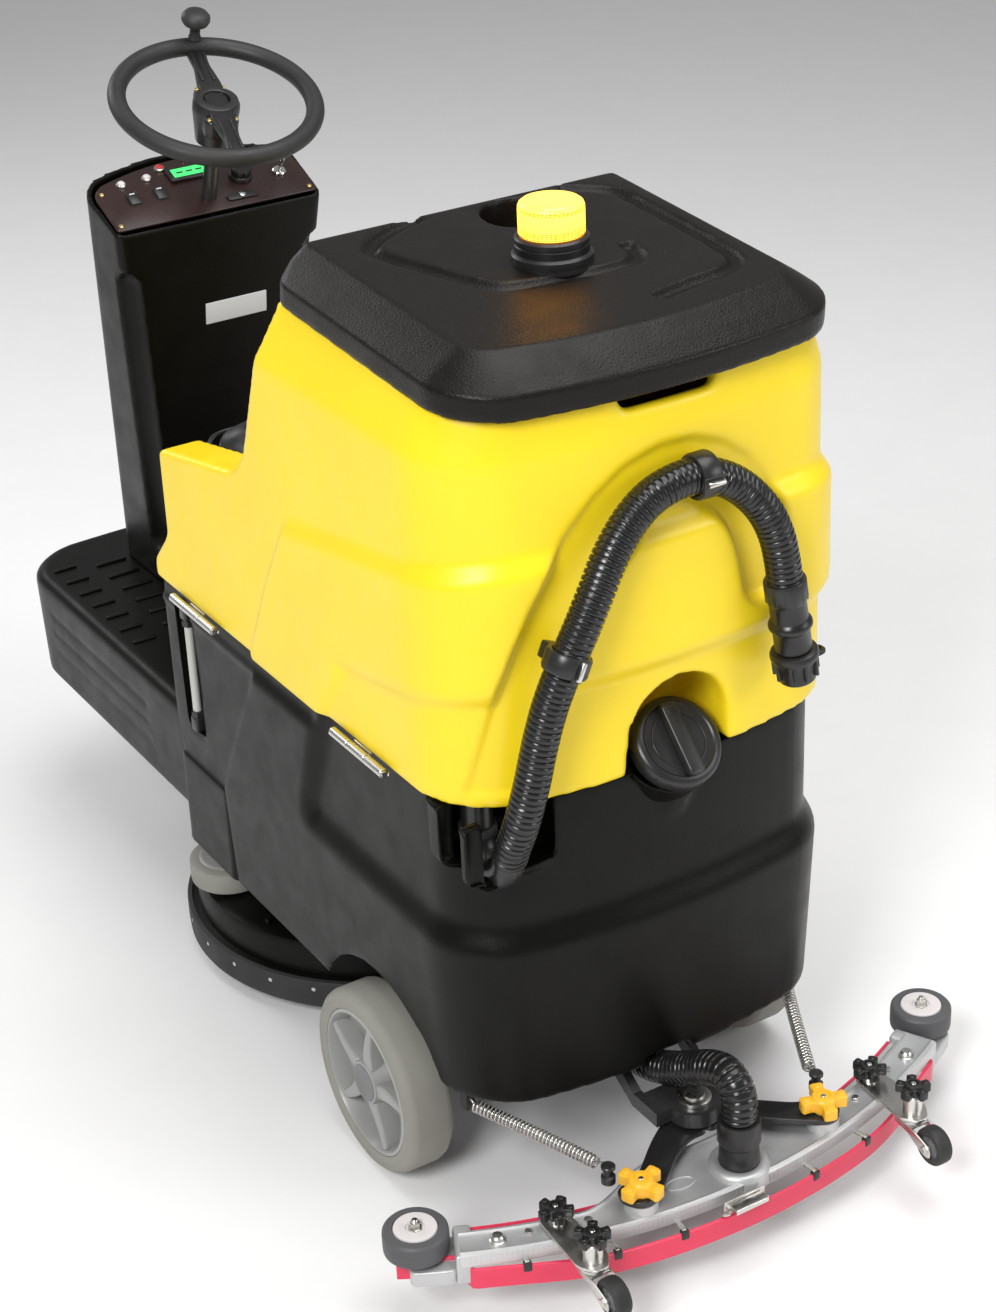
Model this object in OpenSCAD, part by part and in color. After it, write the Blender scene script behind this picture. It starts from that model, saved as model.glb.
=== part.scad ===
// Ride-on floor scrubber-dryer, standing on its wheels with the squeegee raised.
// Frame: +X is the machine's left, +Y its rear, +Z up. The origin is on the floor under the
// middle of the machine's length and width. All sizes are millimetres.

/* [Overall] */
// Length from the nose of the foot platform to the squeegee casters
machine_l = 1670; // [1600:5:1900]
// Width of the body mouldings at the seam
body_w = 556; // [520:2:620]
// Height of the seam between the solution tank and the recovery tank
seam_z = 620; // [600:5:660]
// Height of the recovery tank's rim above the seam, at its front
tank_h = 500; // [480:5:560]
// Height of the foot platform's tread
platform_z = 409; // [390:1:430]

/* [Wheels] */
// Diameter of a rear wheel
rear_wheel_d = 250; // [230:2:260]
// Width of a rear wheel
rear_wheel_w = 70; // [60:1:80]
// Diameter of the fixed rear axle
axle_d = 25; // [20:1:30]
// Diameter of the front drive wheel
drive_wheel_d = 220; // [200:2:230]
// Width of the front drive wheel
drive_wheel_w = 76; // [60:1:90]
// Radial running clearance of every shaft in its hole
run_gap = 0.05; // [0.02:0.01:0.08]

/* [Body] */
// Wall of the moulded tanks
tank_wall = 8; // [6:1:10]
// Height of the lower edge of the body mouldings
skirt_z = 200; // [190:5:215]
// Width of the seat between the armrests
seat_w = 430; // [380:5:440]
// Thickness of the seat cushion
seat_t = 95; // [70:5:100]
// Height of the lid at its middle
lid_h = 62; // [50:1:70]
// Diameter of the cup holder in the lid
cup_d = 92; // [80:1:100]

/* [Console] */
// Width of the console head
head_w = 336; // [320:2:360]
// Rim radius of the steering wheel, to the middle of its tube
steer_r = 137; // [120:1:150]
// Thickness of the steering wheel's rim
steer_tube = 26; // [22:1:30]
// Tilt of the steering column from vertical
steer_tilt = 20; // [18:1:22]

/* [Scrub deck] */
// Outer radius of the deck's skirt
deck_r = 285; // [270:1:290]
// Height of the deck's top plate
deck_z = 118; // [112:1:122]
// Radius of the brush
brush_r = 250; // [230:1:255]

/* [Squeegee] */
// Radius of the squeegee's arc, at the back of its casting
squeegee_r = 808; // [780:1:850]
// Half angle of the squeegee blades' arc
blade_angle = 32; // [28:1:34]
// Height of the rear blade
blade_h = 48; // [40:1:52]
// Caster wheel diameter
caster_d = 50; // [44:1:56]
// Guide wheel diameter
guide_d = 80; // [70:1:90]

/* [Hidden] */

$fn = 48;
eps = 0.1;
soft_fn = 32;

// Colours
black = [0.09, 0.09, 0.08];
yellow = [0.98, 0.84, 0.16];
steel = [0.72, 0.72, 0.70];
dark_steel = [0.16, 0.16, 0.16];
tyre_grey = [0.45, 0.44, 0.41];
rubber_black = [0.12, 0.12, 0.12];
blade_pink = [0.88, 0.28, 0.38];
knob_yellow = [1.0, 0.74, 0.14];
amber = [1.0, 0.60, 0.10];

// Places along the machine
nose_y = -machine_l / 2;
tail_y = machine_l / 2;
axle_y = tail_y - 500;
axle_z = rear_wheel_d / 2;
body_front_y = axle_y - 560;
body_rear_y = axle_y + 225;
rear_bow = 40;
side_x = body_w / 2;
rim_z = seam_z + tank_h;

// Rear wheels
wheel_in_x = side_x - 42;
wheel_out_x = wheel_in_x + rear_wheel_w;
arch_r = axle_z + 35;
hub_r = 100;

// Chassis
rail_x = 120;
rail_w = 40;
rail_h = 50;
rail_z = 290;
rail_front_y = nose_y + 100;
rail_rear_y = axle_y + 195;
plate_t = 12;
window_hw = side_x - 48;
anchor_x = 240;
anchor_y = axle_y + 158;

// Steering: the fork's axis, the wheel's centre and the shaft between them
fork_y = nose_y + 170;
fork_stem_r = 20;
fork_stem_top = 520;
bearing_r = 34;
steer_y = fork_y + 182;
steer_z = 1166;
shaft_r = 11;
spoke_turn = -13;
gearbox_mid_z = 560;
gearbox_z1 = 690;
gearbox_front = fork_y - 28;
gearbox_back = fork_y + 40;
shaft_depth = 28;
shaft_len = (steer_z - gearbox_z1) / cos(steer_tilt) + shaft_depth;

// Console column: a tapering, leaning housing with a sloping top
col_base_hw = 112;
col_base_front = fork_y - 85;
col_base_rear = fork_y + 75;
col_cut_z = 1060;
col_lean_rear = 0.152;
col_lean_front = 0.219;
col_wall = 5;
head_slope = 23.1;
head_rear_y = fork_y + 165;
head_rear_z = 1001;
head_bow = 36;
plate_thick = 3;

// Where the controls stand on the console plate: [left, up the slope]
rocker_at = [[107, 65], [65, 65]];
light_at = [[110, 100], [69, 103], [42, 118]];
screen_at = [6, 96];
selector_at = [-62, 66];
key_at = [-122, 60];
horn_at = [-45, 26];

// Accelerator pedal, hinged at its heel
pedal_x = 175;
pedal_w = 66;
pedal_l = 125;
pedal_pin_r = 4;

// Tank
arm_front_y = body_front_y + 55;
arm_front_z = seam_z + 202;
arm_rear_y = axle_y - 290;
arm_rear_z = seam_z + 246;
back_top_y = axle_y - 160;
seat_front_y = body_front_y + 34;
seat_rear_y = axle_y - 248;
seat_floor_z = seam_z + 125;
lid_front_y = axle_y - 172;
lid_tilt = 4;
lid_l = 415;
lid_bow = 32;
lid_hw = side_x - 20;
lid_edge = 30;
lid_chamfer = 46;
lid_wall = 5;
lid_pin_r = 4;
lid_axis_y = lid_front_y - 9;
lid_axis_z = rim_z - 2;
seal_h = 7;

notch_x0 = -67;
notch_x1 = 58;
notch_z = rim_z - 53;

// Hinge at the left seam
hinge_x = side_x + 9;
hinge_pin_r = 4;
hinge_knuckle_r = 7;
hinge_l = 125;
hinge_ys = [axle_y - 482, axle_y - 37];
hinge_leaf_t = 2;
hinge_leaf_h = 26;

// Battery bay
bay_hw = 92;
bay_front = body_front_y + 40;
bay_rear = axle_y + 70;
bay_floor = 400;

// Filler
filler_x = -10;
filler_tilt = 45;
filler_r = 56;
filler_y = axle_y + 248;
filler_z = seam_z + 14;
filler_arch_r = 72;
filler_bore = 45;

// Hose recess at the rear left
recess_x0 = 154;
recess_x1 = 262;
recess_y = axle_y + 158;
recess_z = seam_z - 108;

// Drain hose route, from the elbow in the recess, over the hook, to the cuff
drain_r = 21;
drain_route = [[222, 254, 566], [221, 264, 590], [216, 276, 625], [206, 282, 670],
    [194, 284, 720], [182, 288, 765], [166, 294, 810], [148, 299, 850], [126, 298, 890],
    [102, 292, 925], [74, 287, 955], [44, 285, 976], [10, 285, 986], [-22, 285, 985],
    [-54, 286, 973], [-82, 289, 952], [-104, 294, 924], [-118, 298, 892], [-126, 299, 858],
    [-130, 299, 832]];
cuff_l = 92;
cap_h = 42;

// Vacuum hose route, from the pipe under the body to the squeegee's cuff
vac_r = 22;
vac_x = -6;
vac_y = axle_y + 385;
vac_route = [[18, 92, 349], [18, 92, 300], [18, 92, 250], [18, 97, 213], [18, 114, 185],
    [18, 140, 171], [17, 170, 166], [15, 200, 167], [12, 235, 174], [6, 272, 189], [0, 305, 208],
    [-4, 335, 225], [-6, 360, 231], [-6, 378, 223], [-6, 385, 206], [-6, 385, 181]];

// Deck
deck_y = axle_y - 500;
deck_wall_r = deck_r - 17;
deck_motor_r = 46;
deck_out_r = 14;
brush_z0 = 22;
brush_plate_z = 80;
lift_y = deck_y + 170;
lift_rod_r = 8;
roller_r = 58;
roller_x = 217;
roller_y = deck_y - 46;
roller_stud_r = 8;

// Squeegee
arc_y = axle_y - 388;
cast_z0 = 98;
cast_z1 = 112;
cast_in_r = squeegee_r - 66;
cast_angle = 26.5;
chamber_z = 74;
blade_t = 4;
blade_z0 = 62;
guide_x = 386;
guide_y = axle_y + 275;
guide_z0 = 92;
guide_h = 34;
guide_stud_r = 6;
knob_x = 137;
knob_y = axle_y + 383;
caster_x = 239;
caster_y = axle_y + 432;
caster_trail = 43;
caster_axle_z = 66 + caster_d / 2;
caster_pin_r = 4;
caster_stem_r = 6;
lift_axis_y = axle_y + 150;
lift_axis_z = 214;
lift_pin_r = 10;
swing_y = axle_y + 300;
swing_pin_r = 12;
arm_z0 = 124;
arm_z1 = 132;

// A rounded outline in plan, with its rear edge bowed outwards
function arc_pts(cx, cy, r, a0, n) = [for (i = [0:n])
    [cx + r * cos(a0 + 90 * i / n), cy + r * sin(a0 + 90 * i / n)]];
function row_pts(x0, x1, y, n) = [for (i = [1:n - 1]) [x0 + (x1 - x0) * i / n, y]];
function bowed(p, hw, bow, mid) = p[1] > mid
    ? [p[0], p[1] + bow * (1 - pow(p[0] / hw, 2))] : p;
function dipped(p, hw, bow, mid) = p[1] < mid
    ? [p[0], p[1] - bow * (1 - pow(p[0] / hw, 2))] : p;
function plan(hw, yf, yr, rf, rr, bow_r, bow_f) =
    let (raw = concat(arc_pts(hw - rr, yr - rr, rr, 0, 6),
            row_pts(hw - rr, rr - hw, yr, 6),
            arc_pts(rr - hw, yr - rr, rr, 90, 6),
            arc_pts(rf - hw, yf + rf, rf, 180, 6),
            row_pts(rf - hw, hw - rf, yf, 6),
            arc_pts(hw - rf, yf + rf, rf, 270, 6)))
    [for (p = raw) dipped(bowed(p, hw, bow_r, (yf + yr) / 2), hw, bow_f, (yf + yr) / 2)];

// A thin slice of a loft at height z
module slice(z, points) {
    translate([0, 0, z]) linear_extrude(eps) polygon(points);
}

module box(x0, x1, y0, y1, z0, z1) {
    translate([x0, y0, z0]) cube([x1 - x0, y1 - y0, z1 - z0]);
}

module mirrored_x() {
    children();
    mirror([1, 0, 0]) children();
}

module x_rod(r, x0, x1) {
    translate([x0, 0, 0]) rotate([0, 90, 0]) cylinder(r = r, h = x1 - x0);
}

module y_rod(r, y0, y1) {
    translate([0, y0, 0]) rotate([-90, 0, 0]) cylinder(r = r, h = y1 - y0);
}

// A flat ring sector about the squeegee's arc centre
module arc_sector(r0, r1, half, z0, z1) {
    reach = r1 * 1.2;
    translate([0, arc_y, z0])
        intersection() {
            difference() {
                cylinder(r = r1, h = z1 - z0, $fn = 180);
                translate([0, 0, -1]) cylinder(r = r0, h = z1 - z0 + 2, $fn = 180);
            }
            linear_extrude(z1 - z0)
                polygon([[0, 0], [reach * tan(half), reach], [-reach * tan(half), reach]]);
        }
}

// A tube swept along a route of points, with flat rings square to the route
function unit(v) = v / norm(v);
function heading(route, i) = unit(route[min(i + 1, len(route) - 1)] - route[max(i - 1, 0)]);
function side_of(d) = unit(cross(d, abs(d[0]) > 0.9 ? [0, 0, 1] : [1, 0, 0]));
function ring(p, d, r, n) = let (s = side_of(d), t = cross(d, s))
    [for (k = [0:n - 1]) p + r * (cos(360 * k / n) * s + sin(360 * k / n) * t)];
module swept(route, r, n) {
    rings = len(route);
    points = [for (i = [0:rings - 1]) each ring(route[i], heading(route, i), r, n)];
    walls = [for (i = [0:rings - 2], k = [0:n - 1])
        [i * n + k, i * n + (k + 1) % n, (i + 1) * n + (k + 1) % n, (i + 1) * n + k]];
    start = [for (k = [0:n - 1]) n - 1 - k];
    end = [for (k = [0:n - 1]) (rings - 1) * n + k];
    polyhedron(points, concat([start], walls, [end]), convexity = 6);
}

// Steering frame: origin at the wheel's centre, +Z along the shaft towards the driver
module steering_frame() {
    translate([0, steer_y, steer_z]) rotate([-steer_tilt, 0, 0]) children();
}

// Console frame: origin at the middle of the head's rear edge, +X left, +Y up the slope
module head_frame() {
    translate([0, head_rear_y, head_rear_z]) rotate([head_slope, 0, 180])
        mirror([1, 0, 0]) children();
}

module chassis_frame() {
    color(dark_steel) {
        difference() {
            union() {
                mirrored_x() box(rail_x - rail_w / 2, rail_x + rail_w / 2, rail_front_y,
                    rail_rear_y, rail_z, rail_z + rail_h);
                for (y = [rail_front_y, body_front_y - 10, lift_y - 20, axle_y - 20,
                        rail_rear_y - rail_w])
                    box(-rail_x, rail_x, y, y + rail_w, rail_z, rail_z + rail_h);
                box(-rail_x, rail_x, fork_y - 60, fork_y + 60, rail_z, rail_z + plate_t);
                // Axle plates and the fixed axle
                mirrored_x() box(rail_x - 6, rail_x + 6, axle_y - 45, axle_y + 45,
                    axle_z - 25, rail_z + 1);
                translate([0, axle_y, axle_z]) x_rod(axle_d / 2, -wheel_out_x + 6, wheel_out_x - 6);
                // Lugs for the squeegee's lift axis
                mirrored_x() box(62, 72, lift_axis_y - 20, lift_axis_y + 20,
                    lift_axis_z - 18, rail_z + rail_h);
                translate([0, lift_axis_y, lift_axis_z]) x_rod(lift_pin_r, -72, 72);
                // Posts that the squeegee's return springs pull on
                mirrored_x() {
                    box(rail_x, anchor_x + 6, anchor_y - 8, anchor_y + 8, rail_z, rail_z + plate_t);
                    box(anchor_x - 6, anchor_x + 6, anchor_y - 8, anchor_y + 8, 162, rail_z + 1);
                }
                // Feet that carry the solution tank
                mirrored_x() for (y = [body_front_y + 60, axle_y - 60])
                    box(rail_x - 15, rail_x + 15, y, y + 40, rail_z + rail_h - 1, rail_z + rail_h + 10);
                mirrored_x() for (y = [rail_front_y + 10, body_front_y - 80])
                    box(rail_x - 15, rail_x + 15, y, y + 30, rail_z + rail_h - 1,
                        platform_z - tank_wall);
            }
            translate([0, fork_y, rail_z - 1]) cylinder(r = fork_stem_r + run_gap, h = plate_t + 2);
        }
    }
}

module front_platform() {
    hw = side_x - 18;
    rib_pitch = 49;
    rib_rows = 7;
    color(black) {
        difference() {
            hull() {
                slice(skirt_z + 36, plan(hw - 4, nose_y + 14, body_front_y, 90, 4, 0, 12));
                slice(platform_z - 12, plan(hw, nose_y + 12, body_front_y, 92, 4, 0, 12));
                slice(platform_z - eps, plan(hw - 9, nose_y + 22, body_front_y, 88, 4, 0, 12));
            }
            hull() {
                slice(skirt_z + 35, plan(hw - 4 - tank_wall, nose_y + 14 + tank_wall,
                    body_front_y - tank_wall, 84, 4, 0, 12));
                slice(platform_z - tank_wall, plan(hw - 9 - tank_wall, nose_y + 22 + tank_wall,
                    body_front_y - tank_wall, 80, 4, 0, 12));
            }
            translate([0, fork_y, 0]) cylinder(r = bearing_r, h = platform_z + 10);
            box(-window_hw, window_hw, body_front_y - tank_wall - 1, body_front_y + 1, skirt_z,
                rail_z + rail_h + 10);
            for (side = [-1, 1], k = [0:2])
                box(side * hw - 4, side * hw + 4, nose_y + 130, body_front_y - 130,
                    platform_z - 62 - 30 * k, platform_z - 50 - 30 * k);
        }
        // Pedal's pin, held between two ears
        pedal_frame() {
            x_rod(pedal_pin_r, -pedal_w / 2 - 6, pedal_w / 2 + 6);
            for (side = [-1, 1]) box(side * (pedal_w / 2 + 4) - 3, side * (pedal_w / 2 + 4) + 3,
                -9, 9, -15, 9);
        }
        // Anti-slip ribs in two rows each side
        mirrored_x() for (k = [0:rib_rows - 1]) {
            box(hw - 62, hw - 26, nose_y + 96 + rib_pitch * k, nose_y + 104 + rib_pitch * k,
                platform_z - 1, platform_z + 3);
            box(hw - 138, hw - 88, nose_y + 116 + rib_pitch * k, nose_y + 124 + rib_pitch * k,
                platform_z - 1, platform_z + 3);
        }
    }
}

module filler_frame() {
    translate([filler_x, filler_y, filler_z]) rotate([-filler_tilt, 0, 0]) children();
}

module solution_tank() {
    ledge_z = 416;
    waist_z = 458;
    step = 14;
    floor_z = rail_z + rail_h + 10;
    split_y = axle_y - 95;
    color(black) difference() {
        union() {
            hull() {
                slice(skirt_z, plan(side_x - 8, body_front_y, body_rear_y - 10, 8, 80, rear_bow, 0));
                slice(ledge_z, plan(side_x, body_front_y, body_rear_y + 4, 8, 84, rear_bow, 0));
            }
            hull() {
                slice(ledge_z - eps, plan(side_x - 1, body_front_y + 1, body_rear_y + 3, 9, 84, rear_bow,
                    0));
                slice(waist_z, plan(side_x - step, body_front_y, body_rear_y - step + 4, 8, 80,
                    rear_bow, 0));
            }
            hull() {
                slice(waist_z - eps, plan(side_x - step, body_front_y, body_rear_y - step + 4, 8,
                    80, rear_bow, 0));
                slice(seam_z - eps, plan(side_x - 3, body_front_y, body_rear_y, 8, 84, rear_bow, 0));
            }
            hull() {
                slice(ledge_z - 5, plan(side_x - 0.5, body_front_y + 0.5, split_y, 8, 4, 0, 0));
                slice(seam_z - eps, plan(side_x - 0.5, body_front_y + 0.5, split_y + 45, 8, 4, 0, 0));
            }
            // Pads under the hinges
            box(side_x - 20, side_x, hinge_ys[1] - 4, hinge_ys[1] + hinge_l + 4,
                seam_z - hinge_leaf_h - 4, seam_z - 1);
            // Filler neck, swelling out of the rear wall
            hull() {
                filler_frame() translate([0, 0, -46]) cylinder(r = filler_r - 2, h = 40, $fn = soft_fn);
                translate([filler_x, axle_y + 228, seam_z - 120]) sphere(r = 16, $fn = soft_fn);
            }
        }
        // Nothing stands above the seam
        box(-side_x - 5, side_x + 5, body_front_y - 5, filler_y - 40, seam_z, seam_z + 90);
        // Open underside
        hull() {
            slice(skirt_z - 1, plan(side_x - 8 - tank_wall, body_front_y + tank_wall,
                body_rear_y - 10 - tank_wall, 8, 72, rear_bow, 0));
            slice(floor_z - eps, plan(side_x - 8 - tank_wall, body_front_y + tank_wall,
                body_rear_y - 10 - tank_wall, 8, 72, rear_bow, 0));
        }
        box(-window_hw, window_hw, body_front_y - 1, body_front_y + tank_wall + 1, skirt_z - 1, floor_z);
        // Water space round the battery bay
        difference() {
            hull() {
                slice(floor_z + tank_wall, plan(side_x - step - tank_wall, body_front_y + tank_wall,
                    body_rear_y - step - tank_wall, 6, 70, rear_bow, 0));
                slice(seam_z - tank_wall, plan(side_x - step - tank_wall, body_front_y + tank_wall,
                    body_rear_y - step - tank_wall, 6, 70, rear_bow, 0));
            }
            box(-bay_hw - tank_wall, bay_hw + tank_wall, bay_front - tank_wall,
                bay_rear + tank_wall, bay_floor - tank_wall, seam_z);
            box(recess_x0 - tank_wall, recess_x1 + tank_wall, recess_y - tank_wall, tail_y,
                recess_z - tank_wall, seam_z);
            box(side_x - 40, side_x, axle_y - 515, axle_y - 465, 380, seam_z);
        }
        box(-bay_hw, bay_hw, bay_front, bay_rear, bay_floor, seam_z + 1);
        // Hose recess, sight tube recess and wheel arches
        box(recess_x0, recess_x1, recess_y, tail_y, recess_z, seam_z + 1);
        box(side_x - 28, side_x + 5, axle_y - 508, axle_y - 474, 402, seam_z - 16);
        translate([0, axle_y, axle_z]) {
            x_rod(arch_r, wheel_in_x - 12, side_x + 10);
            x_rod(arch_r, -side_x - 10, 12 - wheel_in_x);
        }
        filler_frame() translate([0, 0, -60]) cylinder(r = filler_bore + run_gap, h = 80);
        // Room for the filler cap, and for the vacuum hose under the rear wall
        filler_frame() box(-filler_r - 2, filler_r + 2, -filler_r - 2, filler_r + 2, -5.9, 60);
        box(-22, 44, body_rear_y + 10, body_rear_y + 45, skirt_z - 1, skirt_z + 10);
    }
}

module column_solid(inset) {
    rise = col_cut_z - platform_z;
    top_hw = head_w / 2 + 1 - inset;
    hull() {
        slice(platform_z - (inset > 0 ? 1 : 0), plan(col_base_hw - inset, col_base_front + inset,
            col_base_rear - inset, 34, 24, 0, 6));
        slice(col_cut_z, plan(top_hw, col_base_front + col_lean_front * rise + inset,
            col_base_rear + col_lean_rear * rise - inset, 30, 10, 0, head_bow));
    }
}

module corner_scoops(r) {
    mirrored_x() hull() {
        translate([head_w / 2 - 6, head_rear_y - 10, head_rear_z - 88])
            sphere(r = r, $fn = soft_fn);
        translate([col_base_hw + 14, col_base_rear + 10, platform_z + 70])
            sphere(r = r, $fn = soft_fn);
    }
}

module console_column() {
    scoop_r = 30;
    color(black) difference() {
        column_solid(0);
        difference() {
            column_solid(col_wall);
            corner_scoops(scoop_r + col_wall);
        }
        // Sloping head, with a seat for the console plate
        head_frame() translate([-head_w, -60, -plate_thick]) cube([2 * head_w, 300, 140]);
        corner_scoops(scoop_r);
    }
}

module console_plate() {
    hw = head_w / 2 - 9;
    hole_r = 14;
    color([0.20, 0.08, 0.07]) difference() {
        head_frame() translate([0, 0, -plate_thick]) linear_extrude(plate_thick)
            polygon(plan(hw, 7, 100, 6, 26, head_bow - 4, 0));
        steering_frame() translate([0, 0, -260]) cylinder(r = hole_r, h = 240);
        head_frame() {
            for (at = rocker_at) translate([at[0] - 10, at[1] - 14, -9]) cube([20, 28, 12]);
            translate([selector_at[0], selector_at[1], -9]) cylinder(r = 6 + run_gap, h = 12);
            translate([key_at[0], key_at[1], -9]) cylinder(r = 5 + run_gap, h = 12);
        }
    }
}

module display() {
    color(black) head_frame() {
        difference() {
            translate([screen_at[0] - 32, screen_at[1] - 14, 0]) cube([64, 28, 6]);
            translate([screen_at[0] - 26, screen_at[1] - 9, 3]) cube([52, 18, 4]);
        }
        for (at = light_at) translate([at[0], at[1], 0]) {
            cylinder(r = 7, h = 3);
            translate([0, 0, 3]) cylinder(r1 = 5.5, r2 = 4, h = 3);
        }
        translate([horn_at[0] - 24, horn_at[1] - 7, 0]) cube([48, 14, 3]);
    }
}

module rocker(at) {
    color(black) head_frame() translate([at[0], at[1], 0]) {
        translate([-9.5, -11.5, -8]) cube([19, 23, 8.5]);
        rotate([7, 0, 0]) translate([-9, -13, -2]) cube([18, 26, 7]);
    }
}

module speed_selector() {
    color(black) head_frame() translate([selector_at[0], selector_at[1], 0]) {
        translate([0, 0, -8]) cylinder(r = 6, h = 9);
        translate([0, 0, 0.4]) cylinder(r = 17, h = 7);
        translate([0, 0, 7]) cylinder(r1 = 15, r2 = 13, h = 9);
        translate([-3, -14, 15]) cube([6, 28, 4]);
    }
}

module key() {
    color(steel) head_frame() translate([key_at[0], key_at[1], 0]) {
        translate([0, 0, -8]) cylinder(r = 5, h = 10);
        translate([0, 0, 0.4]) cylinder(r = 10, h = 4);
        translate([-1.2, -3, 4]) cube([2.4, 6, 14]);
        translate([-1.2, -9, 17]) cube([2.4, 18, 16]);
    }
}

module battery_pack() {
    count = 4;
    gap = 2;
    len = (bay_rear - bay_front - 2 * gap) / count - gap;
    color([0.22, 0.22, 0.24]) for (k = [0:count - 1]) {
        y = bay_front + gap + k * (len + gap);
        box(-bay_hw + gap, bay_hw - gap, y, y + len, bay_floor, seam_z - 30);
        for (side = [-1, 1]) translate([side * 50, y + len / 2, seam_z - 31])
            cylinder(r = 9, h = 12);
    }
}

module steering_gearbox() {
    color(dark_steel) difference() {
        union() {
            box(-40, 40, gearbox_front, gearbox_back, platform_z, gearbox_mid_z);
            box(-30, 30, fork_y - 15, gearbox_back + 5, gearbox_mid_z - 1, gearbox_z1);
            box(-52, 52, gearbox_front - 2, gearbox_back + 8, platform_z, platform_z + 10);
        }
        translate([0, fork_y, platform_z - 1])
            cylinder(r = fork_stem_r + run_gap, h = fork_stem_top - platform_z + 2);
        steering_frame() translate([0, 0, -shaft_len - 1]) cylinder(r = shaft_r + run_gap, h = 200);
    }
}

module steering_shaft() {
    color(dark_steel) steering_frame() translate([0, 0, -shaft_len])
        cylinder(r = shaft_r, h = shaft_len - 30);
}

module steering_wheel() {
    color(black) steering_frame() {
        rotate_extrude($fn = 96) translate([steer_r, 0]) circle(r = steer_tube / 2, $fn = 32);
        difference() {
            union() {
                translate([0, 0, -62]) cylinder(r1 = 26, r2 = 33, h = 60);
                rotate([0, 0, spoke_turn]) {
                    translate([-15, -steer_r, -9]) cube([30, 2 * steer_r, 12]);
                    translate([-24, -46, -34]) cube([48, 92, 28]);
                }
            }
            translate([0, 0, -12]) cylinder(r = 18, h = 20);
            translate([0, 0, -70]) cylinder(r = shaft_r, h = 40);
        }
    }
}

module knob_frame() {
    steering_frame() rotate([0, 0, spoke_turn]) translate([0, -steer_r, 0]) children();
}

module spinner_knob() {
    color(black) knob_frame() translate([0, 0, steer_tube / 2 + 0.4]) {
        cylinder(r = 8, h = 20);
        translate([0, 0, 18]) cylinder(r1 = 11, r2 = 20, h = 9);
        translate([0, 0, 27]) cylinder(r = 20, h = 9);
        translate([0, 0, 36]) cylinder(r1 = 20, r2 = 12, h = 7);
    }
}

module drive_fork() {
    leg_x = drive_wheel_w / 2 + 6;
    top_z = drive_wheel_d + 22;
    color(dark_steel) translate([0, fork_y, 0]) {
        difference() {
            union() {
                translate([0, 0, top_z]) cylinder(r = fork_stem_r, h = fork_stem_top - top_z);
                translate([0, 0, top_z]) cylinder(r = 60, h = rail_z - top_z - 1);
                for (side = [-1, 1])
                    box(side * leg_x - 5, side * leg_x + 5, -34, 34, drive_wheel_d / 2 - 26, top_z + 10);
                box(-leg_x - 5, leg_x + 5, -34, 34, top_z, top_z + 12);
            }
            translate([0, 0, drive_wheel_d / 2]) x_rod(12 + run_gap, -leg_x - 20, leg_x + 20);
        }
    }
}

module drive_wheel() {
    leg_x = drive_wheel_w / 2 + 6;
    color(rubber_black) translate([0, fork_y, drive_wheel_d / 2]) {
        x_rod(drive_wheel_d / 2, -drive_wheel_w / 2, drive_wheel_w / 2);
        x_rod(12, -leg_x - 12, leg_x + 12);
    }
}

module pedal_frame() {
    translate([-pedal_x, nose_y + 300, platform_z + 14]) children();
}

module accelerator_pedal() {
    color(black) pedal_frame() difference() {
        union() {
            rotate([-24, 0, 0]) translate([-pedal_w / 2, -pedal_l, 2]) cube([pedal_w, pedal_l, 7]);
            x_rod(9, -pedal_w / 2, pedal_w / 2);
        }
        x_rod(pedal_pin_r + run_gap, -pedal_w, pedal_w);
    }
}

module sight_tube() {
    tube_y = axle_y - 491;
    tube_x = side_x - 13;
    color([0.78, 0.78, 0.74, 0.8]) translate([tube_x, tube_y, 0]) {
        translate([0, 0, 422]) cylinder(r = 6, h = seam_z - 462);
        for (z = [404, seam_z - 44]) translate([-15, -9, z]) cube([24, 18, 24]);
    }
}

module tank_hinge_pins() {
    third = hinge_l / 3;
    color(steel) for (y = hinge_ys) {
        translate([hinge_x, 0, seam_z]) {
            y_rod(hinge_pin_r, y, y + hinge_l);
            y_rod(hinge_knuckle_r, y, y + third - 1);
            y_rod(hinge_knuckle_r, y + 2 * third + 1, y + hinge_l);
        }
        for (k = [0, 2]) {
            box(side_x, side_x + hinge_leaf_t, y + k * (third + 0.5),
                y + k * (third + 0.5) + third - 1, seam_z - hinge_leaf_h, seam_z);
        }
    }
}

module tank_hinges() {
    third = hinge_l / 3;
    color(steel) {
        for (y = hinge_ys) difference() {
            union() {
                translate([hinge_x, 0, seam_z]) y_rod(hinge_knuckle_r, y + third + 0.5, y + 2 * third - 0.5);
                box(side_x - 1, side_x + hinge_leaf_t, y + third + 0.5, y + 2 * third - 0.5,
                    seam_z + 1, seam_z + hinge_leaf_h);
            }
            translate([hinge_x, 0, seam_z]) y_rod(hinge_pin_r + run_gap, y, y + hinge_l);
        }
        // Lid pin on two brackets at the top of the backrest
        translate([0, lid_axis_y, lid_axis_z]) x_rod(lid_pin_r, -62, 62);
        for (side = [-1, 1]) {
            box(side * 56 - 5, side * 56 + 5, lid_axis_y - 6, lid_front_y - 2, lid_axis_z - 22,
                lid_axis_z + 5.4);
            box(side * 56 - 5, side * 56 + 5, lid_front_y - 3, lid_front_y + 8, lid_axis_z - 22,
                lid_axis_z - 5);
        }
    }
}

module deck_lift() {
    color(dark_steel) translate([0, lift_y, 0]) difference() {
        translate([0, 0, deck_z + 70]) cylinder(r = 19, h = rail_z - deck_z - 70);
        translate([0, 0, deck_z + 60]) cylinder(r = lift_rod_r + run_gap, h = 110);
    }
}

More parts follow.
